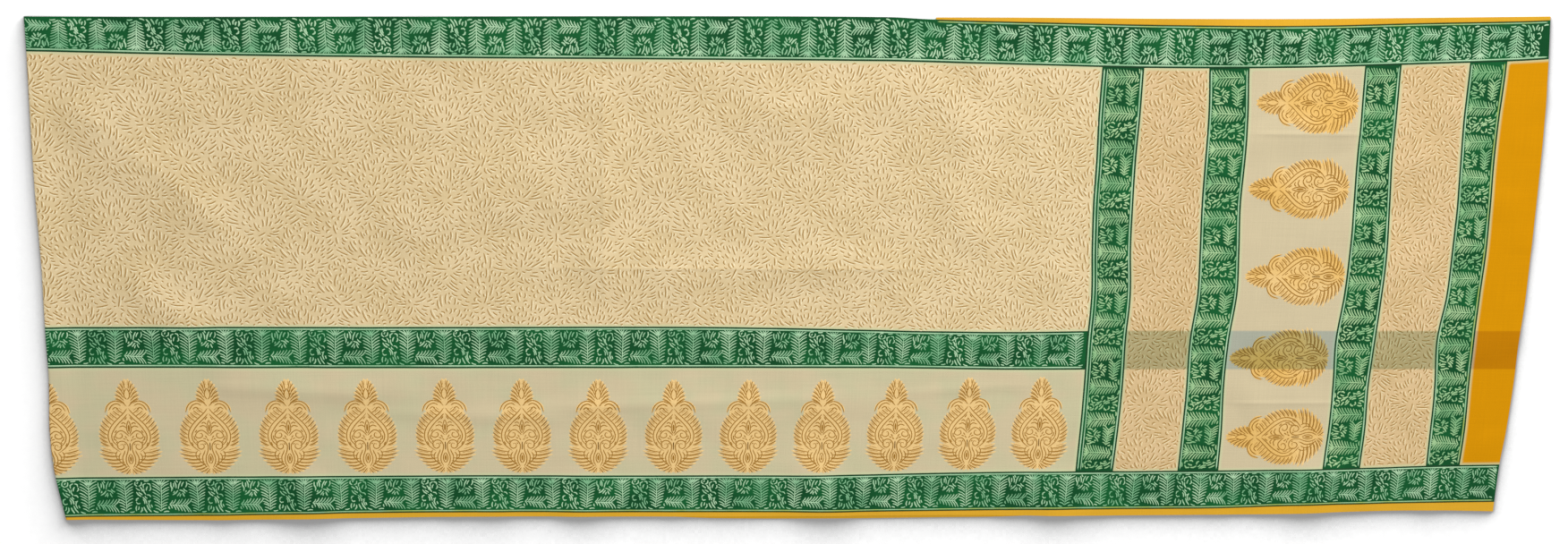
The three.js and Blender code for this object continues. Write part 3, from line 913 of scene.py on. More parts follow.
# Half of a motif, in millimetres from the middle of its foot, where the other half is its mirror
# image. Each family of leaves has their starts, ends and bends, and a line runs between
# neighbours. The paths are the lines of the pointed frame, the scroll, the buds and the shoulder.
MOTIF_FAMILIES = (
    ((1, 12, 6, -1, 0), (3, 14, 18, 1, -1), (5, 17, 30, 6, -2), (7, 21, 41, 13, -3),
     (9, 26, 50, 22, -3), (12, 31, 57, 31, -3), (17, 37, 65, 42, -3), (22, 43, 66, 51, -2),
     (28, 50, 62, 60, -1)),
    ((37, 58, 60, 68, -1), (41, 65, 61, 77, -1), (43, 73, 62, 86, -1), (43, 81, 61, 96, -1),
     (42, 89, 59, 105, -1), (39, 97, 56, 114, -1), (35, 104, 52, 122, -1), (30, 111, 47, 128, -1),
     (24, 117, 41, 133, -1), (18, 123, 35, 137, -1), (12, 129, 28, 142, -1), (7, 134, 21, 147, -1)),
    ((5, 150, 25, 159, 2), (5, 154, 27, 168, 2), (6, 160, 25, 177, 2), (6, 166, 22, 186, 2),
     (6, 173, 17, 194, 2), (5, 180, 11, 201, 1), (2, 186, 4, 206, 0)),
)
MOTIF_PATHS = (
    ((0, 144), (8, 133), (20, 121), (32, 108), (40, 94), (42, 80), (38, 66), (29, 56), (18, 48)),
    ((0, 132), (9, 121), (20, 110), (29, 98), (35, 85), (33, 72), (25, 63), (20, 60)),
    ((3, 14), (9, 26), (9, 38), (5, 50), (4, 62), (10, 71), (19, 72), (25, 66), (24, 58), (18, 54),
     (12, 58), (13, 65), (18, 65), (19, 61)),
    ((8, 14), (15, 26), (16, 38), (12, 47), (10, 54)),
    ((13, 20), (22, 30), (23, 40), (18, 48)),
    ((20, 28), (28, 36), (29, 45), (25, 52)),
    ((0, 82), (7, 90), (15, 95), (24, 91), (28, 82), (21, 78), (14, 82), (16, 89), (21, 86)),
    ((4, 100), (11, 105), (20, 102)), ((5, 108), (10, 112), (15, 109)), ((24, 96), (29, 90)),
    ((0, 86), (4, 95), (4, 105), (0, 118)), ((0, 92), (1, 100), (0, 108)),
    ((0, 22), (4, 29), (4, 38), (0, 46)), ((0, 28), (1, 34), (0, 40)),
    ((0, 160), (5, 167), (5, 176), (0, 186)),
    ((1, 145), (9, 154), (20, 158), (32, 155), (41, 146), (45, 132)),
    ((12, 147), (21, 152), (31, 148), (38, 137)), ((18, 141), (25, 144), (31, 139)),
    ((7, 76), (13, 78)), ((5, 78), (9, 84)), ((30, 74), (31, 84)), ((26, 72), (29, 77)),
    ((0, 50), (0, 70)), ((2, 72), (6, 77)), ((3, 124), (8, 117)), ((24, 72), (27, 68)),
    ((8, 64), (11, 67)), ((33, 62), (37, 70)),
)
MOTIF_LEAF_WIDTH = 6.0
MOTIF_LINE_WIDTH = 2.6
MOTIF_SHOULDER = ((3, 142), (9, 152), (20, 157), (31, 155), (41, 147), (46, 132))
MOTIF_HEIGHT = 207
MOTIF_PLATE = (
    (0, 5), (6, 18), (13, 32), (22, 43), (31, 50), (42, 57), (50, 60), (58, 57), (68, 55),
    (78, 56), (88, 56), (97, 55), (105, 53), (114, 50), (122, 46), (130, 44), (138, 45),
    (146, 43), (153, 36), (158, 27), (162, 24), (168, 23), (177, 21), (186, 18), (194, 13),
    (200, 8), (205, 2),
)


# The upright motifs along the strip: the middle of the first whole one, how far apart they start,
# how fast they draw closer together, and how far their feet are from the seam. One stands before
# the first and goes round the fold, and the rest after it. The lying motifs are given by the
# middle of each.
STRIP_MOTIFS = {"x": -1420, "apart": 165.5, "closer": 0.32, "from_seam": 5, "before": 1, "after": 13}
LYING_MOTIFS = ((1054, 368.5), (1051, 183.5), (1060, -8.5), (1040, -191.5), (1046, -372.5))
# How high a motif's ground, leaves and lines stand above the cloth, and how far the edges of each
# and the underside of the ground sink in.
GROUND_HEIGHTS = {"top": 0.14, "rim": -0.1, "below": -0.3}
LEAF_HEIGHTS = (0.24, 0.06)
LINE_HEIGHTS = (0.46, -0.06)


def motif_parts():
    """The gold leaves of one motif and the lines between and inside them."""
    half_line = MOTIF_LINE_WIDTH / 2
    leaves = [smooth_path(MOTIF_SHOULDER, MOTIF_LEAF_WIDTH / 2, 10)]
    lines = [smooth_path(path, half_line, 3 + 2 * len(path)) for path in MOTIF_PATHS]
    for family in MOTIF_FAMILIES:
        for a, b, c, d, bend in family:
            leaves.append(bow((a, b), (c, d), bend, MOTIF_LEAF_WIDTH / 2, 5, 0.55))
            lines.append(bow((a + (c - a) * 0.25, b + (d - b) * 0.25),
                             (a + (c - a) * 0.8, b + (d - b) * 0.8), bend * 0.3, half_line * 0.6, 4))
        for near, far in zip(family, family[1:]):
            a, b, c, d, bend = (np.array(near) + np.array(far)) / 2
            lines.append(bow((a, b), (a + (c - a) * 0.9, b + (d - b) * 0.9), bend, half_line, 5, 0.8))
    return mirrored(leaves), mirrored(lines)


def place_motif(points, foot, turn, scale):
    """Moves points of a motif to its foot on the cloth, turned and scaled."""
    u, v = points[..., 0] * scale, points[..., 1] * scale
    return np.stack([foot[0] + u * math.cos(turn) - v * math.sin(turn),
                     foot[1] + u * math.sin(turn) + v * math.cos(turn)], axis=-1)


def plate_mesh(name, feet, material):
    """The gold grounds of the motifs, each a thin closed plate on the cloth."""
    v, width = (np.array(column, float) for column in zip(*MOTIF_PLATE))
    vertices, faces, total = [], [], 0
    for foot, turn, scale in feet:
        # The plate that goes round the fold ends where the upper layer does.
        last = (SEAM["fold"](foot[1]) - TAIL + 1 - foot[0]) / scale
        goes_round = last + FOLD_NEAR > -width.max()
        left = np.maximum(-width, last) if goes_round else -width
        share = np.linspace(0, 1, 49 if goes_round else 9)
        u = left[:, None] * (1 - share) + width[:, None] * share
        flat = np.stack([u, np.broadcast_to(v[:, None], u.shape)], axis=-1)
        place = place_motif(flat, foot, turn, scale)
        rows, columns = place.shape[:2]
        top = np.full((rows, columns), GROUND_HEIGHTS["top"])
        top[:, (0, -1)] = top[(0, -1), :] = GROUND_HEIGHTS["rim"]
        index = np.arange(rows * columns).reshape(rows, columns)
        quads = np.stack([index[:-1, :-1], index[:-1, 1:], index[1:, 1:], index[1:, :-1]], -1)
        quads = quads.reshape(-1, 4)
        inner = np.zeros((rows, columns), bool)
        inner[1:-1, 1:-1] = True
        below = index.copy()
        below[inner] = rows * columns + np.arange(inner.sum())
        below = below.ravel()[quads]
        triangles = np.concatenate([quads[:, (0, 1, 2)], quads[:, (0, 2, 3)],
                                    below[:, (0, 2, 1)], below[:, (0, 3, 2)]])
        # At two corners all three points are on the rim, so the upper and lower face would be one.
        on_rim = np.append(~inner.ravel(), np.zeros(inner.sum(), bool))
        faces.append(total + triangles[~on_rim[triangles].all(axis=1)])
        under = on_cloth(place[inner], GROUND_HEIGHTS["below"])
        vertices += [on_cloth(place, top).reshape(-1, 3), under]
        total += rows * columns + inner.sum()
    return joined_mesh(name, vertices, faces, material)


# The vine print: how clear a stroke stays of others and of a panel's edge, its shortest and longest
# length, the share of curled strokes and their length, how far from a spray's foot curling
# starts, and how far aside the cream stroke lies, which is partly print and partly a painted
# highlight. A plain stroke bends outwards and wobbles from its way, and a curled one bends and
# turns to either hand.
VINE = {"clear": 4, "edge_clear": 4, "short": 13, "long": 34, "curl_share": 0.2, "curl": 10,
        "heart": 16, "painted_highlight_aside": 3.2, "bend": 0.5, "more_bend": 3.6, "wobble": 0.5,
        "curl_bend": 3.4, "curl_turn": 2.5}
# Each pass of throws fills the room that the one before left, with strokes of less length: the
# share of the ground that it tries, and how long its strokes are against the first ones.
VINE_PASSES = ((0.06, 1.0), (0.1, 0.6), (0.15, 0.36))
# A spray spreads upwards more than sideways or down: its reach sideways, and how much is added to
# that upwards and taken off it downwards.
SPRAY_REACH = (0.56, 0.44)


def spray_ways(spots):
    """Which way the vine grows at each spot: up and outwards from the foot of the nearest spray,
    and how far off that foot is."""
    repeat = sizes().vine_repeat / MM
    column = np.floor(spots[:, 0] / repeat * 2)
    choices = []
    for step in (-1, 0, 1, 2):
        foot_x = (column + step) * repeat / 2
        drop = np.where((column + step) % 2, repeat / 2, 0)
        row = np.floor((spots[:, 1] - drop) / repeat)
        for above in (0, 1):
            side = spots[:, 0] - foot_x
            up = spots[:, 1] - (row + above) * repeat - drop
            choices.append((np.arctan2(side, up), np.hypot(side, up)))
    way, far = (np.array(numbers) for numbers in zip(*choices))
    nearest = np.argmin(far / (SPRAY_REACH[0] + SPRAY_REACH[1] * np.cos(way)), axis=0)
    spot = np.arange(len(spots))
    return way[nearest, spot], far[nearest, spot]


def throw_vine(spots, shorter, half, random):
    """Strokes of the vine at these spots, some curled, each with a cream print and painted highlight
    beside it.
    """
    ways, reaches = spray_ways(spots)
    size, curl, hand, wobble = random.uniform(0, 1, (4, len(spots)))
    length = (VINE["short"] + (VINE["long"] - VINE["short"]) * size ** 1.5) * shorter
    curled = (curl < VINE["curl_share"]) & (reaches > VINE["heart"])
    outward = -np.copysign(VINE["bend"] + VINE["more_bend"] * wobble * shorter, ways)
    bend = np.where(curled, np.copysign(VINE["curl_bend"] * shorter ** 0.5, hand - 0.5), outward)
    ways = ways + np.where(curled, (hand - 0.5) * VINE["curl_turn"], (wobble - 0.5) * VINE["wobble"])
    length = np.where(curled, np.minimum(length, VINE["curl"]), length)
    way = np.stack([np.sin(ways), np.cos(ways)], axis=-1)
    step = way * length[:, None] / 2
    aside = np.stack([way[:, 1], -way[:, 0]], axis=-1)
    # The cream stroke and its painted highlight always lie towards the same side of the cloth.
    aside *= np.where(aside[:, :1] < aside[:, 1:], -1, 1) * VINE["painted_highlight_aside"]
    dark, dark_half = bow(spots - step, spots + step, bend, half, 5, 0.6, 0.16)
    light, cream_highlight_half = bow(spots - step * 0.9 + aside, spots + step * 0.9 + aside, bend * 0.9,
                            half, 4, 0.6, 0.24)
    return dark, dark_half, light, cream_highlight_half


def vine_strokes(x_range, y_range, inside, random):
    """Strokes of the vine print, thrown one by one where there is room, along the sprays, each
    with a cream stroke on one side: partly print, partly a painted highlight that makes the print look
    raised."""
    half = sizes().vine_stroke / MM / 2
    x, y = np.arange(*x_range), np.arange(*y_range)
    taken = ~inside(*np.meshgrid(x, y, indexing="ij")).ravel()
    corner = np.array((x[0], y[0]))
    across, along = disc(VINE["clear"]).T
    around = across * len(y) + along
    dark, light = [], []
    for share, shorter in VINE_PASSES:
        free = random.permutation(np.flatnonzero(~taken))
        free = free[:int(share * len(taken))]
        spots = np.stack([free // len(y), free % len(y)], axis=-1) + corner + 0.5
        points, points_half, cream_highlight_points, cream_highlight_half = throw_vine(spots, shorter, half, random)
        between = (points[:, 1:] + points[:, :-1]) / 2
        cells = np.rint(np.concatenate([points, between], axis=1) - corner).astype(int)
        flat = cells[..., 0] * len(y) + cells[..., 1]
        fits = (cells >= 0).all((1, 2)) & (cells < (len(x), len(y))).all((1, 2))
        for index in np.flatnonzero(fits):
            if not taken[free[index]] and not taken[flat[index]].any():
                taken[(flat[index][:, None] + around).ravel()] = True
                dark.append((points[index], points_half))
                light.append((cream_highlight_points[index], cream_highlight_half))
    return dark, light


class SareeOperator(bpy.types.Operator):
    """What the operators of this file share."""
    bl_options = {"REGISTER", "UNDO"}


class SAREE_OT_under_layer(SareeOperator):
    """The half of the cloth that lies underneath, with its yellow edge past the upper hem"""
    bl_idname = "saree.under_layer"
    bl_label = "Under Layer"

    def execute(self, context):
        colour = colours()
        left = moved(SEAM["fold"], FOLD_TURN_UNDER + SEAM_GAP)
        right = moved(SEAM["pallu"], -UNDER_INSET)
        foot, head = SEAM["under_hem"], moved(SEAM["hem_upper"], -UNDER_INSET)
        rows = spread(foot, head, places(float(foot(0)), float(head(0)), 40), 3)
        columns = spread(left, right, places(float(left(0)), float(right(0)), 25), 3)
        x, y = meet(rows, columns)
        middle = np.full(x.shape, WALL / 2)
        piece = grid_object("under_layer_cloth", np.stack([x, y, middle], axis=-1) * MM)
        finish_cloth(piece, under_silk(colour), bevel=True)
        declare_cloth(piece, "under_layer")
        return {"FINISHED"}


def under_silk(colour):
    """Silk of the under layer: the same cloth from its back, with its bands in paler colours."""
    material = silk("Plain-woven silk, reverse", colour.yellow_edge, colour.yellow_edge, 0.6, 0.02)
    tree = material.node_tree
    shader = tree.nodes["Principled BSDF"]
    threads = shader.inputs["Base Color"].links[0].from_socket
    place = next(node for node in tree.nodes if node.type == "TEX_COORD").outputs["Object"]
    y = add_node(tree, "ShaderNodeSeparateXYZ", {}, {0: place}).outputs[1]
    edge = 1 * MM
    # The seam below each band, its colour, and how far its edge lies from the seam.
    bands = (
        ("band_lower", "line_pale", 3), ("strip_foot", "grey", 0), ("strip_top", "line_pale", 0),
        ("body_foot", "sand", 0), ("body_top", "line_pale", 0), ("band_upper", "yellow_edge", -1),
    )
    result = threads
    for seam, name, shift in bands:
        at = (float(SEAM[seam](0)) + shift) * MM
        past = step_between(tree, y, at - edge, at + edge)
        result = blend(tree, past, result, opaque(getattr(colour, name)))
    tree.links.new(result, shader.inputs["Base Color"])
    return material


class SAREE_OT_borders(SareeOperator):
    """The green borders and the yellow edges along the two long sides"""
    bl_idname = "saree.borders"
    bl_label = "Borders"

    def execute(self, context):
        colour = colours()
        green = silk("Resist-dyed silk, green", colour.green, colour.green_deep, 0.6, 0.04)
        yellow = silk("Plain-woven silk, yellow edge", colour.yellow_edge, colour.yellow_edge,
                      0.6, 0.02)
        whole = columns_from_fold(SEAM["pallu"], PALLU_END)
        body = columns_from_fold(moved(SEAM["one"], -SEAM_GAP / 2), BODY_END, CREASE_COLUMNS)
        step = sizes().mesh_step / MM
        right = spread(lambda y: np.full_like(y, SELVEDGE_START), SEAM["pallu"],
                       places(SELVEDGE_START, PALLU_END, step))
        cloth_panel("selvedge_lower", yellow,
                    band_rows("hem_lower", "band_lower", 3.4, low_gap=False), whole)
        cloth_panel("border_lower", green,
                    band_rows("band_lower", "strip_foot", step), whole)
        cloth_panel("border_inner", green,
                    band_rows("strip_top", "body_foot", step), body)
        cloth_panel("border_upper", green,
                    band_rows("body_top", "band_upper", step), whole)
        cloth_panel("selvedge_upper", yellow,
                    band_rows("band_upper", "hem_upper", 3.4, high_gap=False), right)
        return {"FINISHED"}


class SAREE_OT_body(SareeOperator):
    """The sand-coloured body and the strip that holds the upright motifs"""
    bl_idname = "saree.body"
    bl_label = "Body"

    def execute(self, context):
        colour = colours()
        body_silk = silk("Printed silk, sand", colour.sand, colour.sand_deep, halo=True)
        strip_silk = silk("Plain-woven silk, celadon", colour.celadon, colour.grey, halo=True)
        columns = columns_from_fold(moved(SEAM["one"], -SEAM_GAP / 2), BODY_END, CREASE_COLUMNS)
        cloth_panel("body_field", body_silk,
                    panel_rows("body_foot", "body_top", CREASE_ROWS), columns,
                    [(SEAM["body_foot"], False), (SEAM["body_top"], False), (SEAM["one"], True)])
        cloth_panel("motif_strip", strip_silk,
                    panel_rows("strip_foot", "strip_top"), columns,
                    [(SEAM["strip_foot"], False), (SEAM["strip_top"], False), (SEAM["one"], True)])
        return {"FINISHED"}


# Panels across the pallu: node, slot, left and right seam, and which kind of cloth each is.
PALLU_PANELS = (
    ("cross_band_1", "green_print", "one", "one_end", "green"),
    ("pallu_panel_1", "tan_print", "one_end", "two", "sand"),
    ("cross_band_2", "green_print", "two", "two_end", "green"),
    ("pallu_panel_2", "grey_silk", "two_end", "three", "grey"),
    ("cross_band_3", "green_print", "three", "three_end", "green"),
    ("pallu_panel_3", "tan_print", "three_end", "four", "sand"),
    ("cross_band_4", "green_print", "four", "four_end", "green"),
    ("end_panel", "yellow_silk", "four_end", "pallu", "yellow"),
)


class SAREE_OT_pallu(SareeOperator):
    """The pallu: green cross bands with sand, grey and yellow panels between them"""
    bl_idname = "saree.pallu"
    bl_label = "Pallu"

    def execute(self, context):
        colour = colours()
        kinds = {
            "green": silk("Resist-dyed silk, green bands", colour.green, colour.green_deep, 0.6, 0.04),
            "sand": silk("Printed silk, sand panels", colour.sand_pallu, colour.sand_pallu_deep,
                         halo=True, show_through=colour.through_sand),
            "grey": silk("Plain-woven silk, grey", colour.grey, colour.grey,
                         halo=True, show_through=colour.through_grey),
            "yellow": silk("Plain-woven silk, yellow", colour.yellow, colour.yellow, 0.6, 0.02,
                           halo=True, show_through=colour.through_yellow),
        }
        rows = panel_rows("strip_foot", "body_top", CREASE_ROWS)
        for node, slot, left, right, kind in PALLU_PANELS:
            gap = 0 if right == "pallu" else SEAM_GAP / 2
            near, far = moved(SEAM[left], SEAM_GAP / 2), moved(SEAM[right], -gap)
            at = places(float(near(0)), float(far(0)), sizes().mesh_step / MM)
            seams = [(SEAM[left], True), (SEAM["strip_foot"], False), (SEAM["body_top"], False)]
            if right != "pallu":
                seams.append((SEAM[right], True))
            cloth_panel(node, kinds[kind], rows, spread(near, far, at), seams)
        return {"FINISHED"}


# The lines printed beside a green band, each as its distance from the seam and its width: along
# its own edges, along the yellow edges, and the second pale line at the start of the pallu.
BAND_LINES = {"dark": (1.4, 3.2), "pale": (5.0, 3.7)}
HEM_LINES = {"dark": (1.1, 2.6), "pale": (4.4, 3.0)}
SECOND_LINE = (11.5, 2.6)
# How high the lines' paste stands, and how far its edges sink in.
DARK_PASTE = (0.26, 0.1)
PALE_PASTE = (0.3, 0.1)


class SAREE_OT_edge_lines(SareeOperator):
    """The pale and dark lines that are printed along both sides of each green band"""
    bl_idname = "saree.edge_lines"
    bl_label = "Edge Lines"

    def execute(self, context):
        colour = colours()
        dark, pale, hem_dark, hem_pale = [], [], [], []
        # Each seam beside a green band, which way the band lies from it, and where the line ends.
        body_end = BODY_END - 1
        (dark_in, dark_width), (pale_in, pale_width) = BAND_LINES["dark"], BAND_LINES["pale"]
        for seam, inward, end in (("strip_foot", -1, None), ("strip_top", 1, body_end),
                                  ("body_foot", -1, body_end), ("body_top", 1, None)):
            dark.append(line_along(seam, inward * dark_in, dark_width, None, end))
            pale.append(line_along(seam, inward * pale_in, pale_width, None, end))
        for seam, inward, start in (("band_lower", 1, None), ("band_upper", -1, SELVEDGE_START)):
            for lines, (inset, width) in ((hem_pale, HEM_LINES["pale"]), (hem_dark, HEM_LINES["dark"])):
                lines.append(line_along(seam, inward * inset, width, start))
        for band in ("one", "two", "three", "four"):
            for seam, inward in ((band, 1), (band + "_end", -1)):
                dark.append(line_across(seam, inward * dark_in, dark_width))
                target = hem_pale if seam == "four_end" else pale
                target.append(line_across(seam, inward * pale_in, pale_width))
        pale.append(line_across("one", *SECOND_LINE))
        for name, lines, pigment, first, second, heights in (
                ("edge_lines_dark", dark, "Pigment, bottle green",
                 colour.line_dark, colour.line_dark, DARK_PASTE),
                ("edge_lines_pale", pale, "Resist line, pale green",
                 colour.line_pale, colour.fern, PALE_PASTE),
                ("hem_lines_dark", hem_dark, "Pigment, olive",
                 colour.hem_line, colour.hem_line_light, DARK_PASTE),
                ("hem_lines_pale", hem_pale, "Resist line, yellow green",
                 colour.hem_line_pale, colour.line_pale, PALE_PASTE)):
            strokes_mesh(name, lines, paste(pigment, first, second), "green_print", *heights)
        return {"FINISHED"}


class SAREE_OT_fern_print(SareeOperator):
    """The pale fern print on the borders and cross bands"""
    bl_idname = "saree.fern_print"
    bl_label = "Fern Print"

    def execute(self, context):
        colour = colours()
        pale = paste("Resist print, fern", colour.fern_faint, colour.fern)
        cross = paste("Resist print, fern across", colour.fern_cross_faint, colour.fern_cross)
        random = np.random.default_rng(SEED)
        clear = PRINT_CLEAR
        start, body_end = PRINT_START, BODY_END - 2

        def upper_edge(x):
            return SEAM["band_upper"](x) - np.where(x < SELVEDGE_START, clear / 2, clear)

        long_bands = (
            ("border_upper", moved(SEAM["body_top"], clear), upper_edge, PALLU_END, False, 1),
            ("border_inner", moved(SEAM["strip_top"], clear), moved(SEAM["body_foot"], -clear),
             body_end, True, 0.82),
            ("border_lower", moved(SEAM["band_lower"], clear), moved(SEAM["strip_foot"], -clear),
             PALLU_END, True, 0.84),
        )
        for band, low, high, end, turned, finer in long_bands:
            place = long_band(low, high, start, end, turned)
            strokes_mesh("fern_print_" + band, fern_band(end - start, place, random, finer), pale,
                         "green_print")
        for node, slot, left, right, kind in PALLU_PANELS:
            if kind == "green":
                x = float(SEAM[left](0))
                top = float(SEAM["body_top"](x)) - CROSS_END_CLEAR
                length = top - float(SEAM["strip_foot"](x)) - CROSS_END_CLEAR
                left_clear = clear + (SECOND_LINE_CLEAR if left == "one" else 0)
                place = cross_band(moved(SEAM[left], left_clear), moved(SEAM[right], -clear), top)
                strokes_mesh("fern_print_" + node, fern_band(length, place, random), cross,
                             "green_print")
        return {"FINISHED"}


class SAREE_OT_vine_print(SareeOperator):
    """The fine coral vine on the body and on two panels of the pallu"""
    bl_idname = "saree.vine_print"
    bl_label = "Vine Print"

    def execute(self, context):
        colour = colours()
        even = (90, 90, 90)
        brown = paste("Pigment, vine brown", colour.vine, colour.vine, even,
                      show_through=colour.through_sand)
        # The cream strokes beside the vine are partly print and partly a painted highlight.
        cream = paste("Resist print, cream", colour.vine_cream_and_painted_highlight, colour.vine_cream_and_painted_highlight, even)
        pallu_cream = paste("Resist print, pallu cream", colour.vine_light_pallu,
                            colour.vine_light_pallu, even, show_through=colour.through_sand)
        random = np.random.default_rng(SEED + 1)

        def within(low, high, left, right):
            clear = VINE["edge_clear"]

            def inside(x, y):
                return ((y > SEAM[low](x) + clear) & (y < SEAM[high](x) - clear)
                        & (x > left(y) + clear) & (x < right(y) - clear))
            return inside

        # Each printed panel, the ranges of x and y that hold it, and its four seams.
        fields = (
            ("body_field", (PRINT_START, 620), (-135, 450), "body_foot", "body_top",
             moved(SEAM["fold"], -TAIL), SEAM["one"]),
            ("pallu_panel_1", (685, 850), (-458, 470), "strip_foot", "body_top",
             SEAM["one_end"], SEAM["two"]),
            ("pallu_panel_3", (1240, 1410), (-458, 470), "strip_foot", "body_top",
             SEAM["three_end"], SEAM["four"]),
        )
        for node, x_range, y_range, low, high, left, right in fields:
            dark, light = vine_strokes(x_range, y_range, within(low, high, left, right), random)
            strokes_mesh("vine_print_" + node, dark, brown, "tan_print")
            strokes_mesh("vine_light_" + node, light, cream if node == "body_field" else pallu_cream,
                         "tan_print", 0.18)
        return {"FINISHED"}


class SAREE_OT_motifs(SareeOperator):
    """The gold motifs: upright ones along the strip and lying ones on the pallu"""
    bl_idname = "saree.motifs"
    bl_label = "Motifs"

    def execute(self, context):
        colour = colours()
        gold = paste("Pigment, gold", colour.gold, colour.gold, (150, 150, 150))
        ochre = paste("Pigment, ochre", colour.ochre, colour.ochre, show_through=colour.through_sand)
        gold_deep = paste("Pigment, deep gold", colour.gold_deep, colour.gold, (150, 150, 150),
                          show_through=colour.through_sand)
        scale = sizes().motif_height / MM / MOTIF_HEIGHT
        strip, upright = STRIP_MOTIFS, []
        for place in range(-strip["before"], strip["after"]):
            x = strip["x"] + strip["apart"] * place - strip["closer"] * place * place
            upright.append(((x, float(SEAM["strip_foot"](x)) + strip["from_seam"]), 0.0, scale))
        long_scale = sizes().lying_motif_length / MM / MOTIF_HEIGHT
        lying = [((x + MOTIF_HEIGHT * long_scale / 2, y), math.pi / 2, long_scale)
                 for x, y in LYING_MOTIFS]
        leaves, lines = motif_parts()
        for name, feet, metal, slot in (("strip", upright, gold, "celadon_silk"),
                                        ("pallu", lying, gold_deep, "grey_silk")):
            plate_mesh("motif_grounds_" + name, feet, metal)
            for kind, parts, material, heights in (("leaves", leaves, metal, LEAF_HEIGHTS),
                                                   ("lines", lines, ochre, LINE_HEIGHTS)):
                strokes = [(place_motif(points, foot, turn, size), half * size)
                           for foot, turn, size in feet for points, half in parts]
                strokes = [stroke for stroke in strokes if on_upper_layer(stroke[0]).all()]
                strokes_mesh("motif_" + kind + "_" + name, strokes, material, slot, *heights)
        return {"FINISHED"}


# The soft shadow painted into the floor's colour: which way the floor looks for the cloth's edge,
# how much of that view is open where the painted shadow is deepest, how fast it fades, and how
# finely it is worked out.
SOFT_SHADOW = {"look": (-0.2, 0.91, 0.363), "deepest": 0.84, "fade": 0.7, "samples": 32}
FLOOR_WIDTH = 16
# The lights, in metres: place, what each shines at, how wide it is, and the setting of its power.
LIGHTS = (
    ("overhead_light", (0.1, 0.9, 5.5), (0.1, 0.2, 0), 5.0, "overhead"),
    ("raking_light", (4.2, 5.4, 1.35), (0, 0, 0), 1.8, "raking"),
)
# The camera's place in metres, its turns about X, Y and Z in radians, found by fitting the
# outline and the seams to the photo, and the width of its sensor in millimetres.
CAMERA_PLACE = (-0.3249, 0.8699, 3.6753)
CAMERA_TURN = (-0.233124, -0.0736735, 0.00334443)
SENSOR_WIDTH = 36


def floor_paint_with_painted_shadow(settings):
    """Matt white paint, a little lit from within as a light table is. A soft shadow is painted into its
    colour: an ambient occlusion node darkens it, within a hand's width, where the cloth's raised edge
    hides it."""
    material, tree, shader, _ = start_material("Studio floor, matt paint")
    look = add_node(tree, "ShaderNodeCombineXYZ", {}, dict(enumerate(SOFT_SHADOW["look"])))
    seen = add_node(tree, "ShaderNodeAmbientOcclusion", {"samples": SOFT_SHADOW["samples"]},
                    {"Distance": settings.shadow_reach, "Normal": look.outputs[0]})
    hidden = add_node(tree, "ShaderNodeMapRange", {},
                      {0: seen.outputs["AO"], 1: 1.0, 2: SOFT_SHADOW["deepest"], 3: 0.0, 4: 1.0})
    dark = add_node(tree, "ShaderNodeMath", {"operation": "POWER"},
                    {0: hidden.outputs[0], 1: SOFT_SHADOW["fade"]})
    white = add_node(tree, "ShaderNodeMapRange", {},
                     {0: dark.outputs[0], 1: 0.0, 2: 1.0, 3: 1.0, 4: settings.shadow_depth})
    # Painted shadow: the floor's white is multiplied by how much the cloth's edge hides the floor.
    paint = shaded(tree, opaque(settings.floor), white.outputs[0])
    tree.links.new(paint, shader.inputs["Base Color"])
    tree.links.new(paint, shader.inputs["Emission Color"])
    shader.inputs["Emission Strength"].default_value = settings.floor_glow
    shader.inputs["Roughness"].default_value = 0.9
    shader.inputs["Specular IOR Level"].default_value = 0.1
    return material


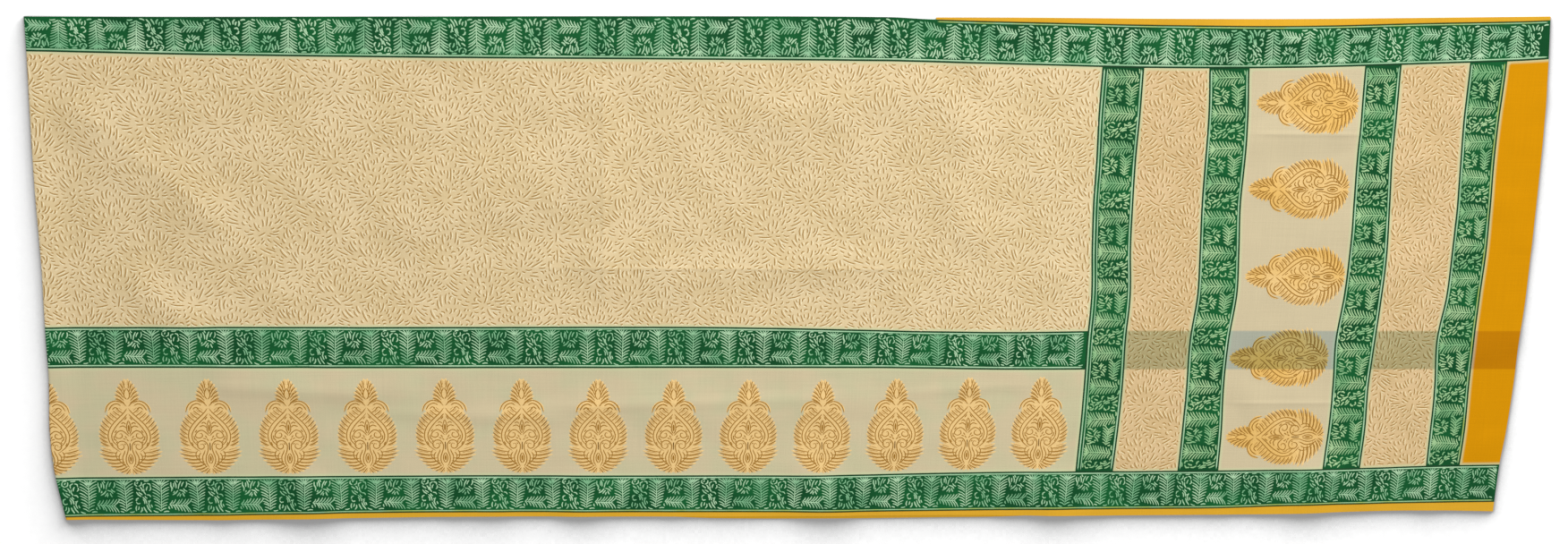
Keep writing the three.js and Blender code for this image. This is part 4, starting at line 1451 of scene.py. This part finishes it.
class SAREE_OT_stage(SareeOperator):
    """A pale floor, soft light and the camera"""
    bl_idname = "saree.stage"
    bl_label = "Stage"

    def execute(self, context):
        settings = context.scene.saree_stage
        bpy.ops.object.select_all(action="DESELECT")
        bpy.ops.mesh.primitive_plane_add(size=FLOOR_WIDTH)
        floor = context.object
        floor.name = "floor"
        floor.data.materials.append(floor_paint_with_painted_shadow(settings))
        world = context.scene.world or bpy.data.worlds.new("Studio")
        context.scene.world = world
        world.use_nodes = True
        sky = world.node_tree.nodes["Background"]
        sky.inputs["Color"].default_value = (1, 1, 1, 1)
        sky.inputs["Strength"].default_value = settings.sky
        for name, place, target, size, power in LIGHTS:
            bpy.ops.object.light_add(type="AREA", location=place)
            light = context.object
            light.name = name
            light.data.size = size
            light.data.energy = getattr(settings, power)
            way = np.array(target) - place
            light.rotation_euler = (math.acos(-way[2] / np.linalg.norm(way)), 0,
                                    math.atan2(way[1], way[0]) - math.pi / 2)
        bpy.ops.object.camera_add(location=CAMERA_PLACE)
        camera = context.object
        camera.data.sensor_width = SENSOR_WIDTH
        camera.data.lens = settings.lens
        camera.rotation_mode = "ZYX"
        camera.rotation_euler = CAMERA_TURN
        context.scene.camera = camera
        context.scene.view_settings.view_transform = "Standard"
        return {"FINISHED"}


class SAREE_PT_panel(bpy.types.Panel):
    """Lists the pieces of the saree and the stage"""
    bl_label = "Saree"
    bl_idname = "SAREE_PT_panel"
    bl_space_type = "VIEW_3D"
    bl_region_type = "UI"
    bl_category = "Saree"

    def draw(self, context):
        for group in ("saree_sizes", "saree_colours", "saree_stage"):
            settings = getattr(context.scene, group)
            for name in settings.__annotations__:
                self.layout.prop(settings, name)
        for operator in OPERATORS:
            self.layout.operator(operator.bl_idname)


GROUPS = (("saree_sizes", SareeSizes), ("saree_colours", SareeColours), ("saree_stage", SareeStage))
OPERATORS = (
    SAREE_OT_under_layer, SAREE_OT_borders, SAREE_OT_body, SAREE_OT_pallu, SAREE_OT_edge_lines,
    SAREE_OT_fern_print, SAREE_OT_vine_print, SAREE_OT_motifs, SAREE_OT_stage,
)


def register():
    for name, group in GROUPS:
        bpy.utils.register_class(group)
        setattr(bpy.types.Scene, name, bpy.props.PointerProperty(type=group))
    for kind in (*OPERATORS, SAREE_PT_panel):
        bpy.utils.register_class(kind)


def unregister():
    for kind in reversed((*OPERATORS, SAREE_PT_panel)):
        bpy.utils.unregister_class(kind)
    for name, group in reversed(GROUPS):
        delattr(bpy.types.Scene, name)
        bpy.utils.unregister_class(group)


def main():
    register()
    for operator in OPERATORS:
        group, name = operator.bl_idname.split(".")
        getattr(getattr(bpy.ops, group), name)()


if __name__ == "__main__":
    main()
